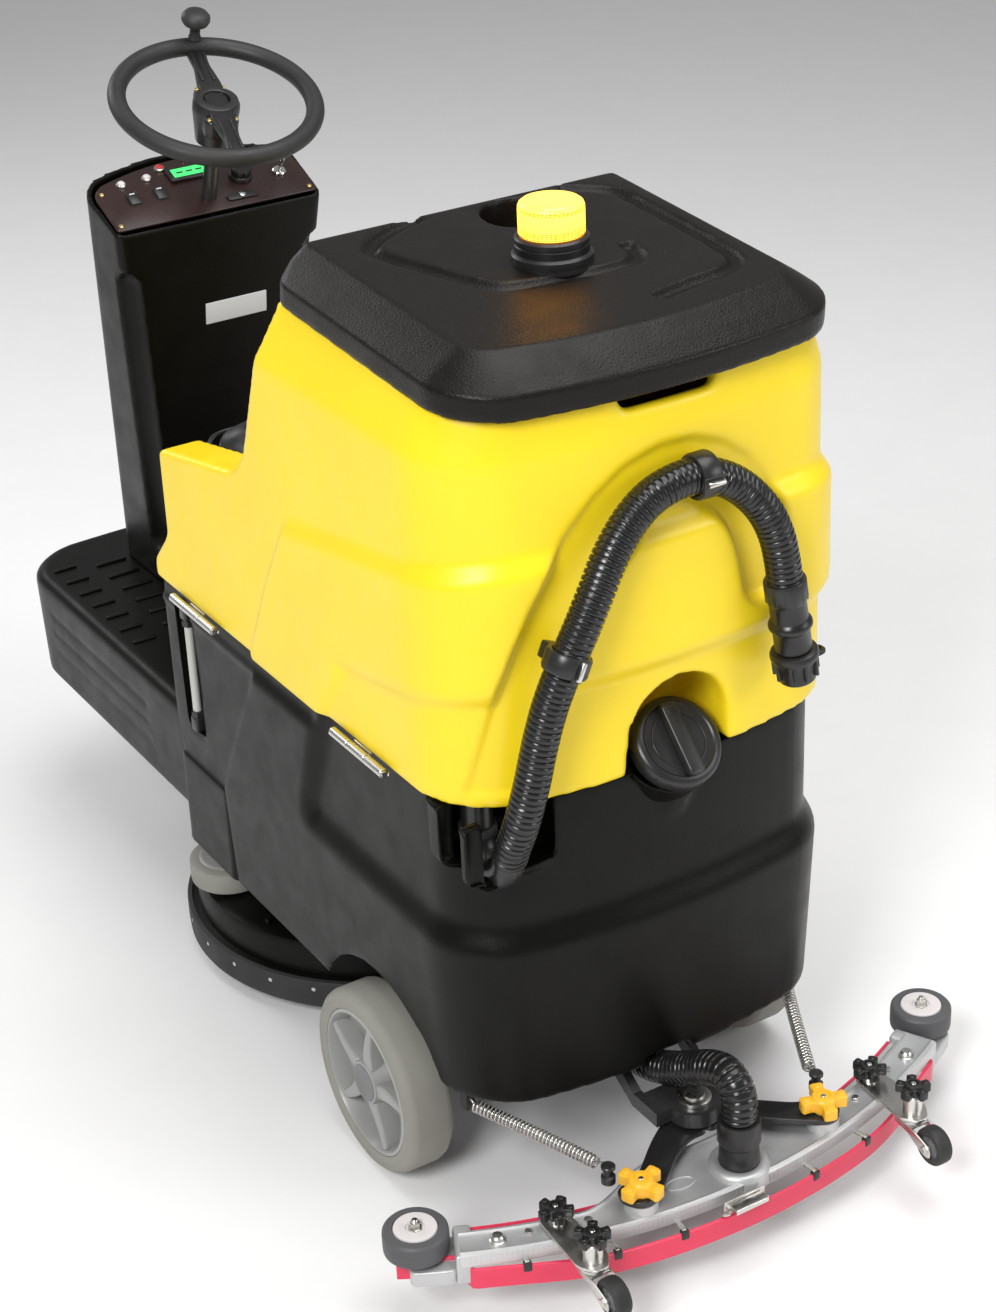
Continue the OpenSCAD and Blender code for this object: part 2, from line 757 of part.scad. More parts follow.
// Recovery tank: tapering bands stacked from the seam to the rim
module recovery_tank() {
    hw = side_x;
    rear = body_rear_y;
    z1 = seam_z + 120;
    z2 = seam_z + 160;
    z3 = seam_z + 292;
    z4 = seam_z + 345;
    floor = 6;
    low = plan(hw, body_front_y, rear, 14, 84, rear_bow, 0);
    low_top = plan(hw - 2, body_front_y, rear, 14, 84, rear_bow, 0);
    wide = plan(hw + 6, body_front_y, rear + 12, 16, 88, rear_bow, 0);
    shoulder = plan(hw - 8, body_front_y, rear - 6, 16, 86, rear_bow, 0);
    rim = plan(hw - 30, body_front_y, rear + 5, 16, 66, lid_bow, 0);
    arch_up = 45;
    color(yellow) difference() {
        union() {
            hull() {
                slice(seam_z + 1, low);
                slice(z1, low_top);
            }
            hull() {
                slice(z1, low_top);
                slice(z2, wide);
            }
            hull() {
                slice(z2, wide);
                slice(z3, wide);
            }
            hull() {
                slice(z3, wide);
                slice(z4, shoulder);
            }
            hull() {
                slice(z4, shoulder);
                slice(rim_z, rim);
            }
        }
        // Rim slopes down to the rear
        translate([0, lid_front_y, rim_z]) rotate([-lid_tilt, 0, 0]) box(-400, 400, -600, 600, 0, 300);
        // In front of the backrest, above the armrests
        translate([400, 0, 0]) rotate([90, 0, -90]) linear_extrude(800)
            polygon([[-arm_front_y, arm_front_z], [-arm_rear_y, arm_rear_z], [-back_top_y, rim_z + 20],
                [800, rim_z + 20], [800, seam_z - 5], [-body_front_y, seam_z - 5]]);
        // Seat well between the armrests
        box(-seat_w / 2, seat_w / 2, body_front_y - 40, seat_rear_y + 3, seat_floor_z, rim_z);
        // Water space, open at the rim
        difference() {
            union() {
                translate([0, 0, seam_z + floor]) linear_extrude(z3 - seam_z - floor)
                    polygon(plan(hw - 12, seat_rear_y + 15, rear - 10, 14, 74, rear_bow, 0));
                hull() {
                    slice(z3 - eps, plan(hw - 14, seat_rear_y + 15, rear - 13, 14, 72, rear_bow, 0));
                    slice(rim_z + 5, plan(hw - 46, back_top_y + 26, rear - 16, 14, 50, lid_bow, 0));
                }
            }
            box(filler_x - filler_arch_r - floor, filler_x + filler_arch_r + floor, filler_y - 80 - floor,
                tail_y, seam_z, seam_z + arch_up + filler_arch_r + floor);
        }
        // Motor space under the seat, and the hollow armrests
        box(14 - hw, hw - 14, body_front_y + 50, arm_rear_y + 26, seam_z - 1, seat_floor_z - floor);
        mirrored_x() box(seat_w / 2 + floor, hw - 14, arm_front_y + 8, arm_rear_y + 26, seam_z,
            arm_front_z - 10);
        // Arch over the filler, and the notch under the lid
        translate([filler_x, filler_y - 80, seam_z + arch_up]) rotate([90, 0, 180])
            linear_extrude(200) polygon(concat([[filler_arch_r, -arch_up - 1]],
                [for (a = [0:7.5:180]) filler_arch_r * [cos(a), sin(a)]],
                [[-filler_arch_r, -arch_up - 1]]));
        box(notch_x0, notch_x1, rear + 21, tail_y, notch_z, rim_z);
    }
}

module seat_cushion() {
    inset = 3;
    color(black) translate([0, 0, seat_floor_z + 0.3]) {
        hull() {
            slice(0, plan(seat_w / 2 - inset, seat_front_y, seat_rear_y, 40, 30, 0, 0));
            slice(seat_t * 0.75, plan(seat_w / 2 - inset, seat_front_y, seat_rear_y, 40, 30, 0, 0));
            slice(seat_t, plan(seat_w / 2 - 24, seat_front_y + 20, seat_rear_y - 20, 36, 30, 0, 0));
        }
    }
}

module vacuum_motor() {
    color(dark_steel) translate([0, body_front_y + 150, seat_floor_z - 6 - 102]) {
        cylinder(r = 84, h = 46);
        translate([0, 0, 46]) cylinder(r = 66, h = 56);
    }
}

module lid_frame() {
    translate([0, lid_front_y, rim_z + 0.5]) rotate([-lid_tilt, 0, 0]) children();
}

function lid_plan(inset) = plan(lid_hw - inset, inset, lid_l - inset, max(6, 40 - inset),
    max(6, 70 - inset), lid_bow, 0);

// The top face, set in from the sides and the rear but not from the front
function lid_top(inset) = plan(lid_hw - inset, 9, lid_l - inset, max(6, 40 - inset),
    max(6, 70 - inset), lid_bow, 0);

module tank_lid() {
    cup_at = [-45, 61];
    cup_depth = 42;
    cup_wall = 4;
    color([0.14, 0.13, 0.12]) difference() {
        union() {
            lid_frame() difference() {
                union() {
                    hull() {
                        slice(0, lid_plan(0));
                        slice(lid_edge, lid_plan(0));
                    }
                    hull() {
                        slice(lid_edge - eps, lid_plan(0));
                        slice(lid_h - eps, lid_top(lid_chamfer));
                    }
                }
                translate([0, 0, -1]) linear_extrude(seal_h + 1) polygon(lid_plan(lid_wall));
                translate([0, 0, seal_h]) linear_extrude(lid_edge - seal_h - 3) polygon(lid_plan(34));
                hull() {
                    slice(lid_edge - 4, lid_plan(34));
                    slice(lid_h - lid_wall - eps, lid_plan(lid_chamfer + 8));
                }
            }
            // Cup holder and hinge lugs
            lid_frame() translate([cup_at[0], cup_at[1], lid_h - cup_depth - cup_wall])
                cylinder(r = cup_d / 2 + cup_wall, h = cup_depth + cup_wall - 1);
            for (side = [-1, 1]) {
                translate([0, lid_axis_y, lid_axis_z])
                    x_rod(8, side * 36 - 13, side * 36 + 13);
                box(side * 36 - 13, side * 36 + 13, lid_axis_y, lid_front_y + 2, lid_axis_z + 3, rim_z + 14);
            }
        }
        lid_frame() translate([cup_at[0], cup_at[1], lid_h - cup_depth])
            cylinder(r = cup_d / 2, h = cup_depth + 10);
        translate([0, lid_axis_y, lid_axis_z]) x_rod(lid_pin_r + run_gap, -60, 60);
    }
}

module lid_seal() {
    color(rubber_black) lid_frame() difference() {
        linear_extrude(seal_h) polygon(lid_plan(18));
        translate([0, 0, -1]) linear_extrude(seal_h + 2) polygon(lid_plan(28));
    }
}

module beacon_frame() {
    translate([0, axle_y + 35, 0]) lid_frame_top() children();
}

// Upright, standing on the lid's sloping top
module lid_frame_top() {
    translate([0, 0, rim_z + lid_h - (207 * tan(lid_tilt)) + 1]) children();
}

module beacon_base() {
    color(black) beacon_frame() {
        difference() {
            translate([0, 0, -6]) cylinder(r = 47, h = 16);
            lid_cut();
        }
        translate([0, 0, 9]) cylinder(r = 43, h = 18);
        translate([0, 0, 26]) cylinder(r = 38.5, h = 4);
    }
}

module lid_cut() {
    translate([0, 0, -0.3]) rotate([-lid_tilt, 0, 0]) translate([-80, -80, -40]) cube([160, 160, 40]);
}

module beacon_lens() {
    color(amber) beacon_frame() difference() {
        union() {
            translate([0, 0, 30]) cylinder(r = 38, h = 34);
            translate([0, 0, 64]) cylinder(r1 = 38, r2 = 33, h = 5);
        }
        translate([0, 0, 29]) cylinder(r = 34, h = 36);
    }
}

module clip(at, along) {
    translate(at) rotate([0, along, 0]) {
        difference() {
            translate([0, 0, -12]) cylinder(r = drain_r + 6, h = 24);
            translate([0, 0, -14]) cylinder(r = drain_r, h = 28);
        }
        translate([-9, -drain_r - 16, -9]) cube([18, 13, 18]);
    }
}

module hose_clips() {
    color(black) translate([0, axle_y, 0]) {
        clip([163, 295, 817], -24);
        clip([-24, 285, 985], 90);
    }
}

// Turns the tank's outlet round and up into the hose
module drain_elbow() {
    bend = 34;
    color(black) translate([0, axle_y, 0]) {
        translate([222, 254 - 2 * bend, 566]) cylinder(r = drain_r - 2, h = seam_z + 1 - 566);
        translate([222, 254 - 2 * bend, 566]) cylinder(r = drain_r + 3, h = 14);
        translate([222, 254 - bend, 566]) rotate([0, 90, 0]) rotate([0, 0, -90])
            rotate_extrude(angle = 180) translate([bend, 0]) circle(r = drain_r - 2);
    }
}

module drain_hose() {
    color(rubber_black) translate([0, axle_y, 0]) swept(drain_route, drain_r, 12);
}

module cuff_frame() {
    last = drain_route[len(drain_route) - 1];
    translate([last[0], last[1] + axle_y, last[2]]) rotate([0, 9, 0]) children();
}

module drain_cuff() {
    color(black) cuff_frame() {
        translate([0, 0, -24]) cylinder(r = drain_r + 4, h = 24);
        translate([0, 0, -cuff_l]) cylinder(r = drain_r + 1, h = cuff_l - 20);
        translate([0, 0, -60]) cylinder(r = drain_r + 6, h = 8);
    }
}

module drain_cap() {
    color(black) cuff_frame() translate([0, 0, -cuff_l - 0.4]) {
        translate([0, 0, -cap_h + 8]) cylinder(r1 = drain_r + 1, r2 = drain_r + 8, h = cap_h - 8);
        translate([-drain_r - 20, -4, -26]) cube([18, 8, 22]);
    }
}

module filler_cap() {
    color(black) filler_frame() {
        translate([0, 0, -5.6]) cylinder(r = filler_r, h = 20);
        translate([0, 0, 14]) cylinder(r1 = filler_r, r2 = filler_r - 5, h = 4);
        translate([0, 0, -26]) cylinder(r = filler_bore, h = 22);
        translate([-11, -filler_r + 8, 16]) cube([22, 2 * filler_r - 16, 14]);
    }
}

module rear_wheel() {
    hub_in = 6;
    color(tyre_grey) translate([0, axle_y, axle_z]) difference() {
        union() {
            translate([wheel_in_x, 0, 0]) rotate([0, 90, 0]) rotate_extrude($fn = 96)
                polygon([[hub_r, 4], [axle_z - 12, 0], [axle_z, 12], [axle_z, rear_wheel_w - 12],
                    [axle_z - 12, rear_wheel_w], [hub_r, rear_wheel_w - 4]]);
            x_rod(hub_r, wheel_in_x + hub_in, wheel_out_x - 10);
            x_rod(28, wheel_in_x - 4, wheel_out_x - 2);
        }
        x_rod(axle_d / 2 + run_gap, wheel_in_x - 10, wheel_out_x - 5.5);
    }
}

module deck_housing() {
    wall = 5;
    color(black) translate([0, deck_y, 0]) {
        difference() {
            union() {
                translate([0, 0, 58]) cylinder(r = deck_wall_r, h = deck_z - 58, $fn = 96);
                translate([0, 0, 56]) cylinder(r = deck_wall_r + 10, h = 8, $fn = 96);
            }
            translate([0, 0, 50]) cylinder(r = deck_wall_r - wall, h = deck_z - 56, $fn = 96);
            translate([0, 0, 50]) cylinder(r = 30, h = 90);
        }
        // Stud that the corner roller turns on
        translate([roller_x, roller_y - deck_y, deck_z - 2]) cylinder(r = roller_stud_r, h = 46);
    }
    // Lift rod, down onto the deck's top plate
    color(steel) translate([0, lift_y, deck_z - 1]) cylinder(r = lift_rod_r, h = 110);
}

module deck_skirt() {
    color(rubber_black) translate([0, deck_y, brush_z0]) difference() {
        cylinder(r = deck_r, h = 44, $fn = 96);
        translate([0, 0, -1]) cylinder(r = deck_wall_r + 10, h = 50, $fn = 96);
    }
}

module brush_motor() {
    color(dark_steel) translate([0, deck_y, 0]) {
        translate([0, 0, deck_z]) cylinder(r = deck_motor_r + 14, h = 40);
        translate([0, 0, deck_z + 40]) cylinder(r = deck_motor_r, h = 110);
        translate([0, 0, brush_plate_z - 8]) cylinder(r = deck_out_r, h = deck_z - brush_plate_z + 9);
    }
}

module brush() {
    hub_h = 24;
    color([0.25, 0.27, 0.30]) translate([0, deck_y, 0]) difference() {
        union() {
            translate([0, 0, brush_plate_z - 18]) cylinder(r = brush_r, h = 18, $fn = 96);
            translate([0, 0, brush_plate_z - 10]) cylinder(r = 40, h = hub_h);
            difference() {
                translate([0, 0, brush_z0]) cylinder(r = brush_r - 4, h = 41, $fn = 96);
                translate([0, 0, brush_z0 - 1]) cylinder(r = 90, h = 41);
            }
        }
        translate([0, 0, brush_z0]) cylinder(r = deck_out_r + run_gap, h = 120);
    }
}

module deck_roller() {
    color(tyre_grey) translate([roller_x, roller_y, deck_z + 4]) difference() {
        union() {
            cylinder(r = roller_r, h = 34, $fn = 64);
            cylinder(r = roller_r - 10, h = 36, $fn = 64);
        }
        translate([0, 0, -1]) cylinder(r = roller_stud_r + run_gap, h = 40);
    }
}

module squeegee_bracket() {
    arm_x = 50;
    color(dark_steel) difference() {
        union() {
            for (side = [-1, 1]) {
                translate([0, lift_axis_y, lift_axis_z]) x_rod(20, side * arm_x - 6, side * arm_x + 6);
                translate([side * arm_x - 6, lift_axis_y, 0]) rotate([90, 0, 90]) linear_extrude(12)
                    polygon([[-18, lift_axis_z - 10], [0, lift_axis_z - 19], [98, 138], [150, 138],
                        [150, 158], [100, 158], [20, lift_axis_z - 2], [-10, lift_axis_z + 16]]);
            }
            box(-arm_x, arm_x, swing_y - 44, swing_y, 138, 158);
            translate([0, swing_y, 138]) cylinder(r = 34, h = 20);
        }
        translate([0, lift_axis_y, lift_axis_z]) x_rod(lift_pin_r + run_gap, -80, 80);
        translate([0, swing_y, 130]) cylinder(r = swing_pin_r + run_gap, h = 50);
    }
}

module squeegee_arm() {
    spread = 30;
    ear = 26;
    color(black) {
        difference() {
            union() {
                for (side = [-1, 1]) hull() {
                    translate([0, swing_y, arm_z0]) cylinder(r = spread, h = arm_z1 - arm_z0, $fn = soft_fn);
                    translate([side * 60, swing_y + 26, arm_z0])
                        cylinder(r = 20, h = arm_z1 - arm_z0, $fn = soft_fn);
                }
                for (side = [-1, 1]) hull() {
                    translate([side * 60, swing_y + 26, arm_z0])
                        cylinder(r = 20, h = arm_z1 - arm_z0, $fn = soft_fn);
                    translate([side * knob_x, knob_y - 6, arm_z0])
                        cylinder(r = ear, h = arm_z1 - arm_z0, $fn = soft_fn);
                }
            }
            for (side = [-1, 1]) translate([side * knob_x, knob_y, arm_z0 - 1])
                cylinder(r = 6 + run_gap, h = 20);
        }
        translate([0, swing_y, arm_z1 - 0.2]) cylinder(r = swing_pin_r, h = 168 - arm_z1);
        translate([0, swing_y, 158.4]) cylinder(r = 22, h = 8);
        // Spring lugs
        for (side = [-1, 1]) translate([side * (knob_x + 20), knob_y - 40, arm_z0])
            cylinder(r = 9, h = 32);
    }
}

module squeegee_casting() {
    port_r = 24;
    color([0.70, 0.70, 0.68]) difference() {
        union() {
            arc_sector(cast_in_r, squeegee_r, cast_angle, cast_z0, cast_z1);
            arc_sector(squeegee_r - 6, squeegee_r, cast_angle + 1.5, chamber_z, cast_z1 - 2);
            arc_sector(cast_in_r + 8, cast_in_r + 14, cast_angle - 1, chamber_z, cast_z1 - 2);
            // End boxes and guide-wheel brackets
            mirrored_x() {
                rotate_about_arc(28.8) translate([-28, squeegee_r - 66, blade_z0 + 4])
                    cube([56, 65, guide_z0 - blade_z0 - 6]);
                rotate_about_arc(cast_angle - 0.4) translate([-8, squeegee_r - 66, blade_z0 + 4])
                    cube([16, 65, cast_z1 - blade_z0 - 6]);
                translate([guide_x, guide_y, guide_z0 - 6]) cylinder(r = 14, h = 5.6);
                translate([guide_x, guide_y, guide_z0 - 6]) cylinder(r = guide_stud_r, h = guide_h + 12);
                // Knob studs
                translate([knob_x, knob_y, cast_z1 - 2]) cylinder(r = 20, h = arm_z0 - cast_z1 + 2);
                translate([knob_x, knob_y, cast_z1 - 2]) cylinder(r = 6, h = 38);
                translate([310, arc_y + squeegee_r * cos(22.6) - 42, cast_z1 - 2]) cylinder(r = 9, h = 12);
            }
            translate([vac_x, vac_y, cast_z1 - 2]) cylinder(r = 36, h = 7);
        }
        translate([vac_x, vac_y, chamber_z - 2]) cylinder(r = port_r, h = 60);
    }
}

module rotate_about_arc(a) {
    translate([0, arc_y, 0]) rotate([0, 0, -a]) children();
}

module squeegee_blades() {
    color(blade_pink) {
        arc_sector(squeegee_r + 0.1, squeegee_r + blade_t, blade_angle, blade_z0, blade_z0 + blade_h);
        arc_sector(cast_in_r + 8 - blade_t, cast_in_r + 7.9, cast_angle - 1, blade_z0 + 2, blade_z0 + 36);
    }
}

module squeegee_hardware() {
    color(steel) {
        arc_sector(squeegee_r + blade_t + 0.1, squeegee_r + blade_t + 2, cast_angle - 4, 80, 98);
        // Caster plates, each clamped under two star knobs
        mirrored_x() difference() {
            union() {
                box(caster_x - 22, caster_x + 18, axle_y + 335, caster_y + 10, cast_z1 + 0.1, cast_z1 + 4);
                translate([caster_x, caster_y, cast_z1 + 0.1]) cylinder(r = 22, h = 3.9);
            }
            translate([caster_x, caster_y, cast_z1 - 2]) cylinder(r = caster_stem_r + run_gap, h = 10);
        }
    }
}

module blade_latch() {
    color(steel) translate([20, arc_y + squeegee_r + blade_t + 3, 0]) {
        translate([0, 6, 88]) x_rod(3, -34, 34);
        translate([-30, 3, 82]) cube([60, 3, 26]);
        translate([-24, 6, 100]) cube([48, 16, 4]);
    }
}

module guide_wheel() {
    color(tyre_grey) translate([guide_x, guide_y, guide_z0]) difference() {
        union() {
            cylinder(r = guide_d / 2, h = guide_h - 2, $fn = 64);
            cylinder(r = guide_d / 2 - 7, h = guide_h, $fn = 64);
        }
        translate([0, 0, -1]) cylinder(r = guide_stud_r + run_gap, h = guide_h + 2);
    }
}

module caster_fork() {
    top = cast_z1 - 0.4;
    color(steel) translate([caster_x, caster_y, 0]) difference() {
        union() {
            translate([0, 0, top - 6]) cylinder(r = 16, h = 6);
            translate([0, 0, top - 1]) cylinder(r = caster_stem_r, h = 32);
            for (side = [-1, 1]) translate([side * 14 - 1.5, 0, 0]) rotate([90, 0, 90]) linear_extrude(3)
                polygon([[-14, top - 6], [16, top - 6], [caster_trail + 9, caster_axle_z + 4],
                    [caster_trail + 9, caster_axle_z - 8], [caster_trail - 9, caster_axle_z - 8]]);
            box(-15, 15, -14, 14, top - 10, top - 6);
        }
        translate([0, caster_trail, caster_axle_z]) x_rod(caster_pin_r + run_gap, -20, 20);
    }
}

module caster_wheel() {
    color(rubber_black) translate([caster_x, caster_y + caster_trail, caster_axle_z]) {
        x_rod(caster_d / 2, -10, 10);
        x_rod(caster_pin_r, -19, 19);
    }
}

module star(lobes, r, h) {
    cylinder(r = r * 0.5, h = h + 3);
    for (k = [0:lobes - 1]) rotate([0, 0, 360 * k / lobes])
        translate([0, -r * 0.22, 0]) cube([r, r * 0.44, h]);
}

module yellow_knob() {
    color(knob_yellow) translate([knob_x, knob_y, arm_z1 + 0.3]) difference() {
        union() {
            cylinder(r = 16, h = 8);
            translate([0, 0, 4]) star(4, 30, 16);
        }
        translate([0, 0, -1]) cylinder(r = 6 + run_gap, h = 18);
    }
}

module plate_knobs() {
    lift = cast_z1 + 4.1;
    color(black) mirrored_x() {
        translate([caster_x, caster_y, lift + 28.5]) star(4, 22, 12);
        translate([caster_x - 2, axle_y + 350, lift]) {
            cylinder(r = 9, h = 10);
            translate([0, 0, 8]) star(4, 22, 12);
        }
        // Riser under the outer knob
        translate([caster_x, caster_y, lift]) difference() {
            cylinder(r = 12, h = 28.5);
            translate([0, 0, -1]) cylinder(r = caster_stem_r + run_gap, h = 29);
        }
    }
}

// Return springs, from the underside of the body to the lugs on the arm
module springs() {
    color(steel) for (side = [-1, 1])
        translate([0, axle_y, 0]) swept([[side * anchor_x, 171, 172], [side * 212, 222, 164],
            [side * 184, 277, 156], [side * 157, 332, 148]], 8, 8);
}

module vacuum_hose() {
    color(rubber_black) translate([0, axle_y, 0]) swept(vac_route, vac_r, 12);
}

module vacuum_cuff() {
    color(black) translate([vac_x, vac_y, 0]) difference() {
        union() {
            translate([0, 0, cast_z1 + 5]) cylinder(r = 25, h = 30);
            translate([0, 0, cast_z1 + 34]) cylinder(r = 27, h = 34);
        }
        translate([0, 0, cast_z1]) cylinder(r = 20, h = 80);
    }
}

chassis_frame();
front_platform();
solution_tank();
console_column();
console_plate();
display();
battery_pack();
steering_gearbox();
sight_tube();
tank_hinge_pins();
deck_lift();
recovery_tank();
tank_hinges();
seat_cushion();
vacuum_motor();
hose_clips();
drain_elbow();
drain_hose();
drain_cuff();
drain_cap();
tank_lid();
lid_seal();
beacon_base();
beacon_lens();
steering_wheel();
steering_shaft();
spinner_knob();
drive_fork();
drive_wheel();
rocker(rocker_at[0]);  // rocker_left
rocker(rocker_at[1]);  // rocker_right
speed_selector();
key();
accelerator_pedal();
filler_cap();
rear_wheel();  // rear_wheel_left
mirror([1, 0, 0]) rear_wheel();  // rear_wheel_right
deck_housing();
deck_skirt();
brush_motor();
brush();
deck_roller();
squeegee_bracket();
squeegee_arm();
squeegee_casting();
squeegee_blades();
squeegee_hardware();
blade_latch();
guide_wheel();  // guide_wheel_left
mirror([1, 0, 0]) guide_wheel();  // guide_wheel_right
caster_fork();  // caster_left
caster_wheel();  // caster_wheel_left
mirror([1, 0, 0]) caster_fork();  // caster_right
mirror([1, 0, 0]) caster_wheel();  // caster_wheel_right
yellow_knob();  // yellow_knob_left
mirror([1, 0, 0]) yellow_knob();  // yellow_knob_right
plate_knobs();
springs();
vacuum_hose();
vacuum_cuff();
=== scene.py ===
# Visual model of the ride-on scrubber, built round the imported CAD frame.
# Sizes are millimetres with y counted from the rear axle, until put() turns them into metres.
import math

import bmesh
import bpy
import numpy as np
from mathutils import Matrix, Vector


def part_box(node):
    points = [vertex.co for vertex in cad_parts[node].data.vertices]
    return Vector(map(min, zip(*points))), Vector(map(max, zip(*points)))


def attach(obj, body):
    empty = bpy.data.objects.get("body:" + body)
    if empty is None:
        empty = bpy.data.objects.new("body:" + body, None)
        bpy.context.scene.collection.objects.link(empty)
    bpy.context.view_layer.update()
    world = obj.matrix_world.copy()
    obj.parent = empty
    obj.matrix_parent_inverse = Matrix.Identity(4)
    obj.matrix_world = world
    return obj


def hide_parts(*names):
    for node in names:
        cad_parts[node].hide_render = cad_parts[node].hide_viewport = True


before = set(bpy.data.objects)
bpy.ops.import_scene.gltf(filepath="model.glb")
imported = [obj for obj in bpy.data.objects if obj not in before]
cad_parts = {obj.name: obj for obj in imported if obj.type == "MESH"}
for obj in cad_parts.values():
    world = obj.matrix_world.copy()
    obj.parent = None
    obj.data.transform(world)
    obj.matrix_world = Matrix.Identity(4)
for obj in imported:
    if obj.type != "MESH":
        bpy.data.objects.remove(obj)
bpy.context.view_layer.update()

MM = 0.001


def middle(node):
    """Centre of a CAD node's box, in metres."""
    low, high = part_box(node)
    return (Vector(low) + Vector(high)) / 2


AXLE_Y = middle("rear_wheel_left").y / MM


# ---------------------------------------------------------------- camera and light

def make_camera():
    place = Vector((1.453, 2.655, 2.099))
    look = Vector((-0.4538, -0.7583, -0.4679)).normalized()
    roll = math.radians(-2.49)
    right = look.cross(Vector((0, 0, 1))).normalized()
    up = right.cross(look)
    right2 = right * math.cos(roll) + up * math.sin(roll)
    up2 = up * math.cos(roll) - right * math.sin(roll)
    camera = bpy.data.objects.new("camera", bpy.data.cameras.new("camera"))
    camera.matrix_world = Matrix((
        (right2.x, up2.x, -look.x, place.x),
        (right2.y, up2.y, -look.y, place.y),
        (right2.z, up2.z, -look.z, place.z),
        (0, 0, 0, 1)))
    camera.data.lens = 68.95
    camera.data.sensor_width = 36
    camera.data.shift_x = -0.005
    camera.data.clip_end = 30
    bpy.context.collection.objects.link(camera)
    bpy.context.scene.camera = camera


make_camera()
bpy.context.scene.view_settings.view_transform = "Standard"


# ---------------------------------------------------------------- materials

def node_tree(name):
    made = bpy.data.materials.new(name)
    made.use_nodes = True
    tree = made.node_tree
    return made, tree, tree.nodes["Principled BSDF"]


def noise_node(tree, scale, detail=4.0, rough=0.55):
    coords = tree.nodes.get("where") or tree.nodes.new("ShaderNodeTexCoord")
    coords.name = "where"
    made = tree.nodes.new("ShaderNodeTexNoise")
    made.inputs["Scale"].default_value = scale
    made.inputs["Detail"].default_value = detail
    made.inputs["Roughness"].default_value = rough
    tree.links.new(coords.outputs["Object"], made.inputs["Vector"])
    return made


def ramp_node(tree, source, low, high, at=(0.3, 0.7)):
    made = tree.nodes.new("ShaderNodeMapRange")
    made.inputs["From Min"].default_value = at[0]
    made.inputs["From Max"].default_value = at[1]
    made.inputs["To Min"].default_value = low
    made.inputs["To Max"].default_value = high
    tree.links.new(source, made.inputs["Value"])
    return made.outputs["Result"]


def mix_colours(tree, factor, one, two):
    made = tree.nodes.new("ShaderNodeMix")
    made.data_type = "RGBA"
    tree.links.new(factor, made.inputs["Factor"])
    for socket, value in ((6, one), (7, two)):
        if isinstance(value, bpy.types.NodeSocket):
            tree.links.new(value, made.inputs[socket])
        else:
            made.inputs[socket].default_value = (*value, 1)
    return made.outputs[2]


def finish(name, colour, rough=0.5, grain=900.0, bump=0.1, vary=0.12, rough_vary=0.1, metallic=0.0,
           wear=0.25, wear_colour=None, coat=0.0, specular=0.5, subsurface=0.0, depth=0.0004):
    """A procedural finish: colour drift, fine grain in the bump, patchy roughness and worn edges."""
    made, tree, shader = node_tree(name)
    drift = noise_node(tree, 7.0, 3.0)
    darker = tuple(c * (1 - vary) for c in colour)
    lighter = tuple(min(1.0, c * (1 + vary)) for c in colour)
    base = mix_colours(tree, ramp_node(tree, drift.outputs["Fac"], 0, 1), darker, lighter)
    if wear:
        geometry = tree.nodes.new("ShaderNodeNewGeometry")
        edge = ramp_node(tree, geometry.outputs["Pointiness"], 0, wear, (0.52, 0.60))
        worn = wear_colour or tuple(min(1.0, c * 1.35 + 0.05) for c in colour)
        base = mix_colours(tree, edge, base, worn)
    tree.links.new(base, shader.inputs["Base Color"])
    patches = noise_node(tree, 22.0, 5.0)
    tree.links.new(ramp_node(tree, patches.outputs["Fac"], max(0.04, rough - rough_vary),
                             min(1.0, rough + rough_vary)), shader.inputs["Roughness"])
    shader.inputs["Metallic"].default_value = metallic
    shader.inputs["Coat Weight"].default_value = coat
    shader.inputs["Specular IOR Level"].default_value = specular
    if subsurface:
        shader.inputs["Subsurface Weight"].default_value = subsurface
        shader.inputs["Subsurface Radius"].default_value = (0.01, 0.005, 0.002)
    if bump:
        fine = noise_node(tree, grain, 2.0)
        relief = tree.nodes.new("ShaderNodeBump")
        relief.inputs["Strength"].default_value = bump
        relief.inputs["Distance"].default_value = depth
        tree.links.new(fine.outputs["Fac"], relief.inputs["Height"])
        tree.links.new(relief.outputs["Normal"], shader.inputs["Normal"])
    return made


BLACK_SHELL = finish("black_rotomoulded", (0.0034, 0.0032, 0.0025), 0.36, 520, 0.5, 0.08, 0.06, wear=0.06,
                     wear_colour=(0.02, 0.02, 0.018), specular=0.16, depth=0.0006)
YELLOW = finish("yellow_rotomoulded", (0.95, 0.70, 0.012), 0.36, 260, 0.06, 0.03, 0.06, wear=0.1,
                wear_colour=(1.0, 0.74, 0.03))
LID = finish("lid_pebbled", (0.0062, 0.005, 0.004), 0.36, 420, 0.8, 0.08, 0.08, wear=0.1,
             wear_colour=(0.03, 0.028, 0.025), specular=0.22, depth=0.0008)
BLACK = finish("black_moulded", (0.009, 0.009, 0.009), 0.34, 700, 0.12, 0.2, 0.08)
HOSE = finish("hose_rubber", (0.010, 0.010, 0.010), 0.22, 500, 0.05, 0.2, 0.06, wear=0.08)
RUBBER = finish("black_rubber", (0.016, 0.016, 0.016), 0.6, 400, 0.2, 0.2)
GRIP = finish("wheel_grip", (0.016, 0.016, 0.0165), 0.55, 900, 0.3, 0.15)
FRAME_BLACK = finish("black_steel", (0.015, 0.015, 0.015), 0.3, 300, 0.1, 0.2, 0.1, 0.0, coat=0.2)
TYRE = finish("grey_tyre", (0.26, 0.255, 0.225), 0.72, 700, 0.45, 0.12, 0.08, wear=0.15)
HUB = finish("grey_hub", (0.30, 0.30, 0.29), 0.34, 500, 0.12, 0.1, 0.08, wear=0.3)
HUB_CAP = finish("grey_cap", (0.17, 0.17, 0.175), 0.45, 500, 0.1, 0.1, 0.08)
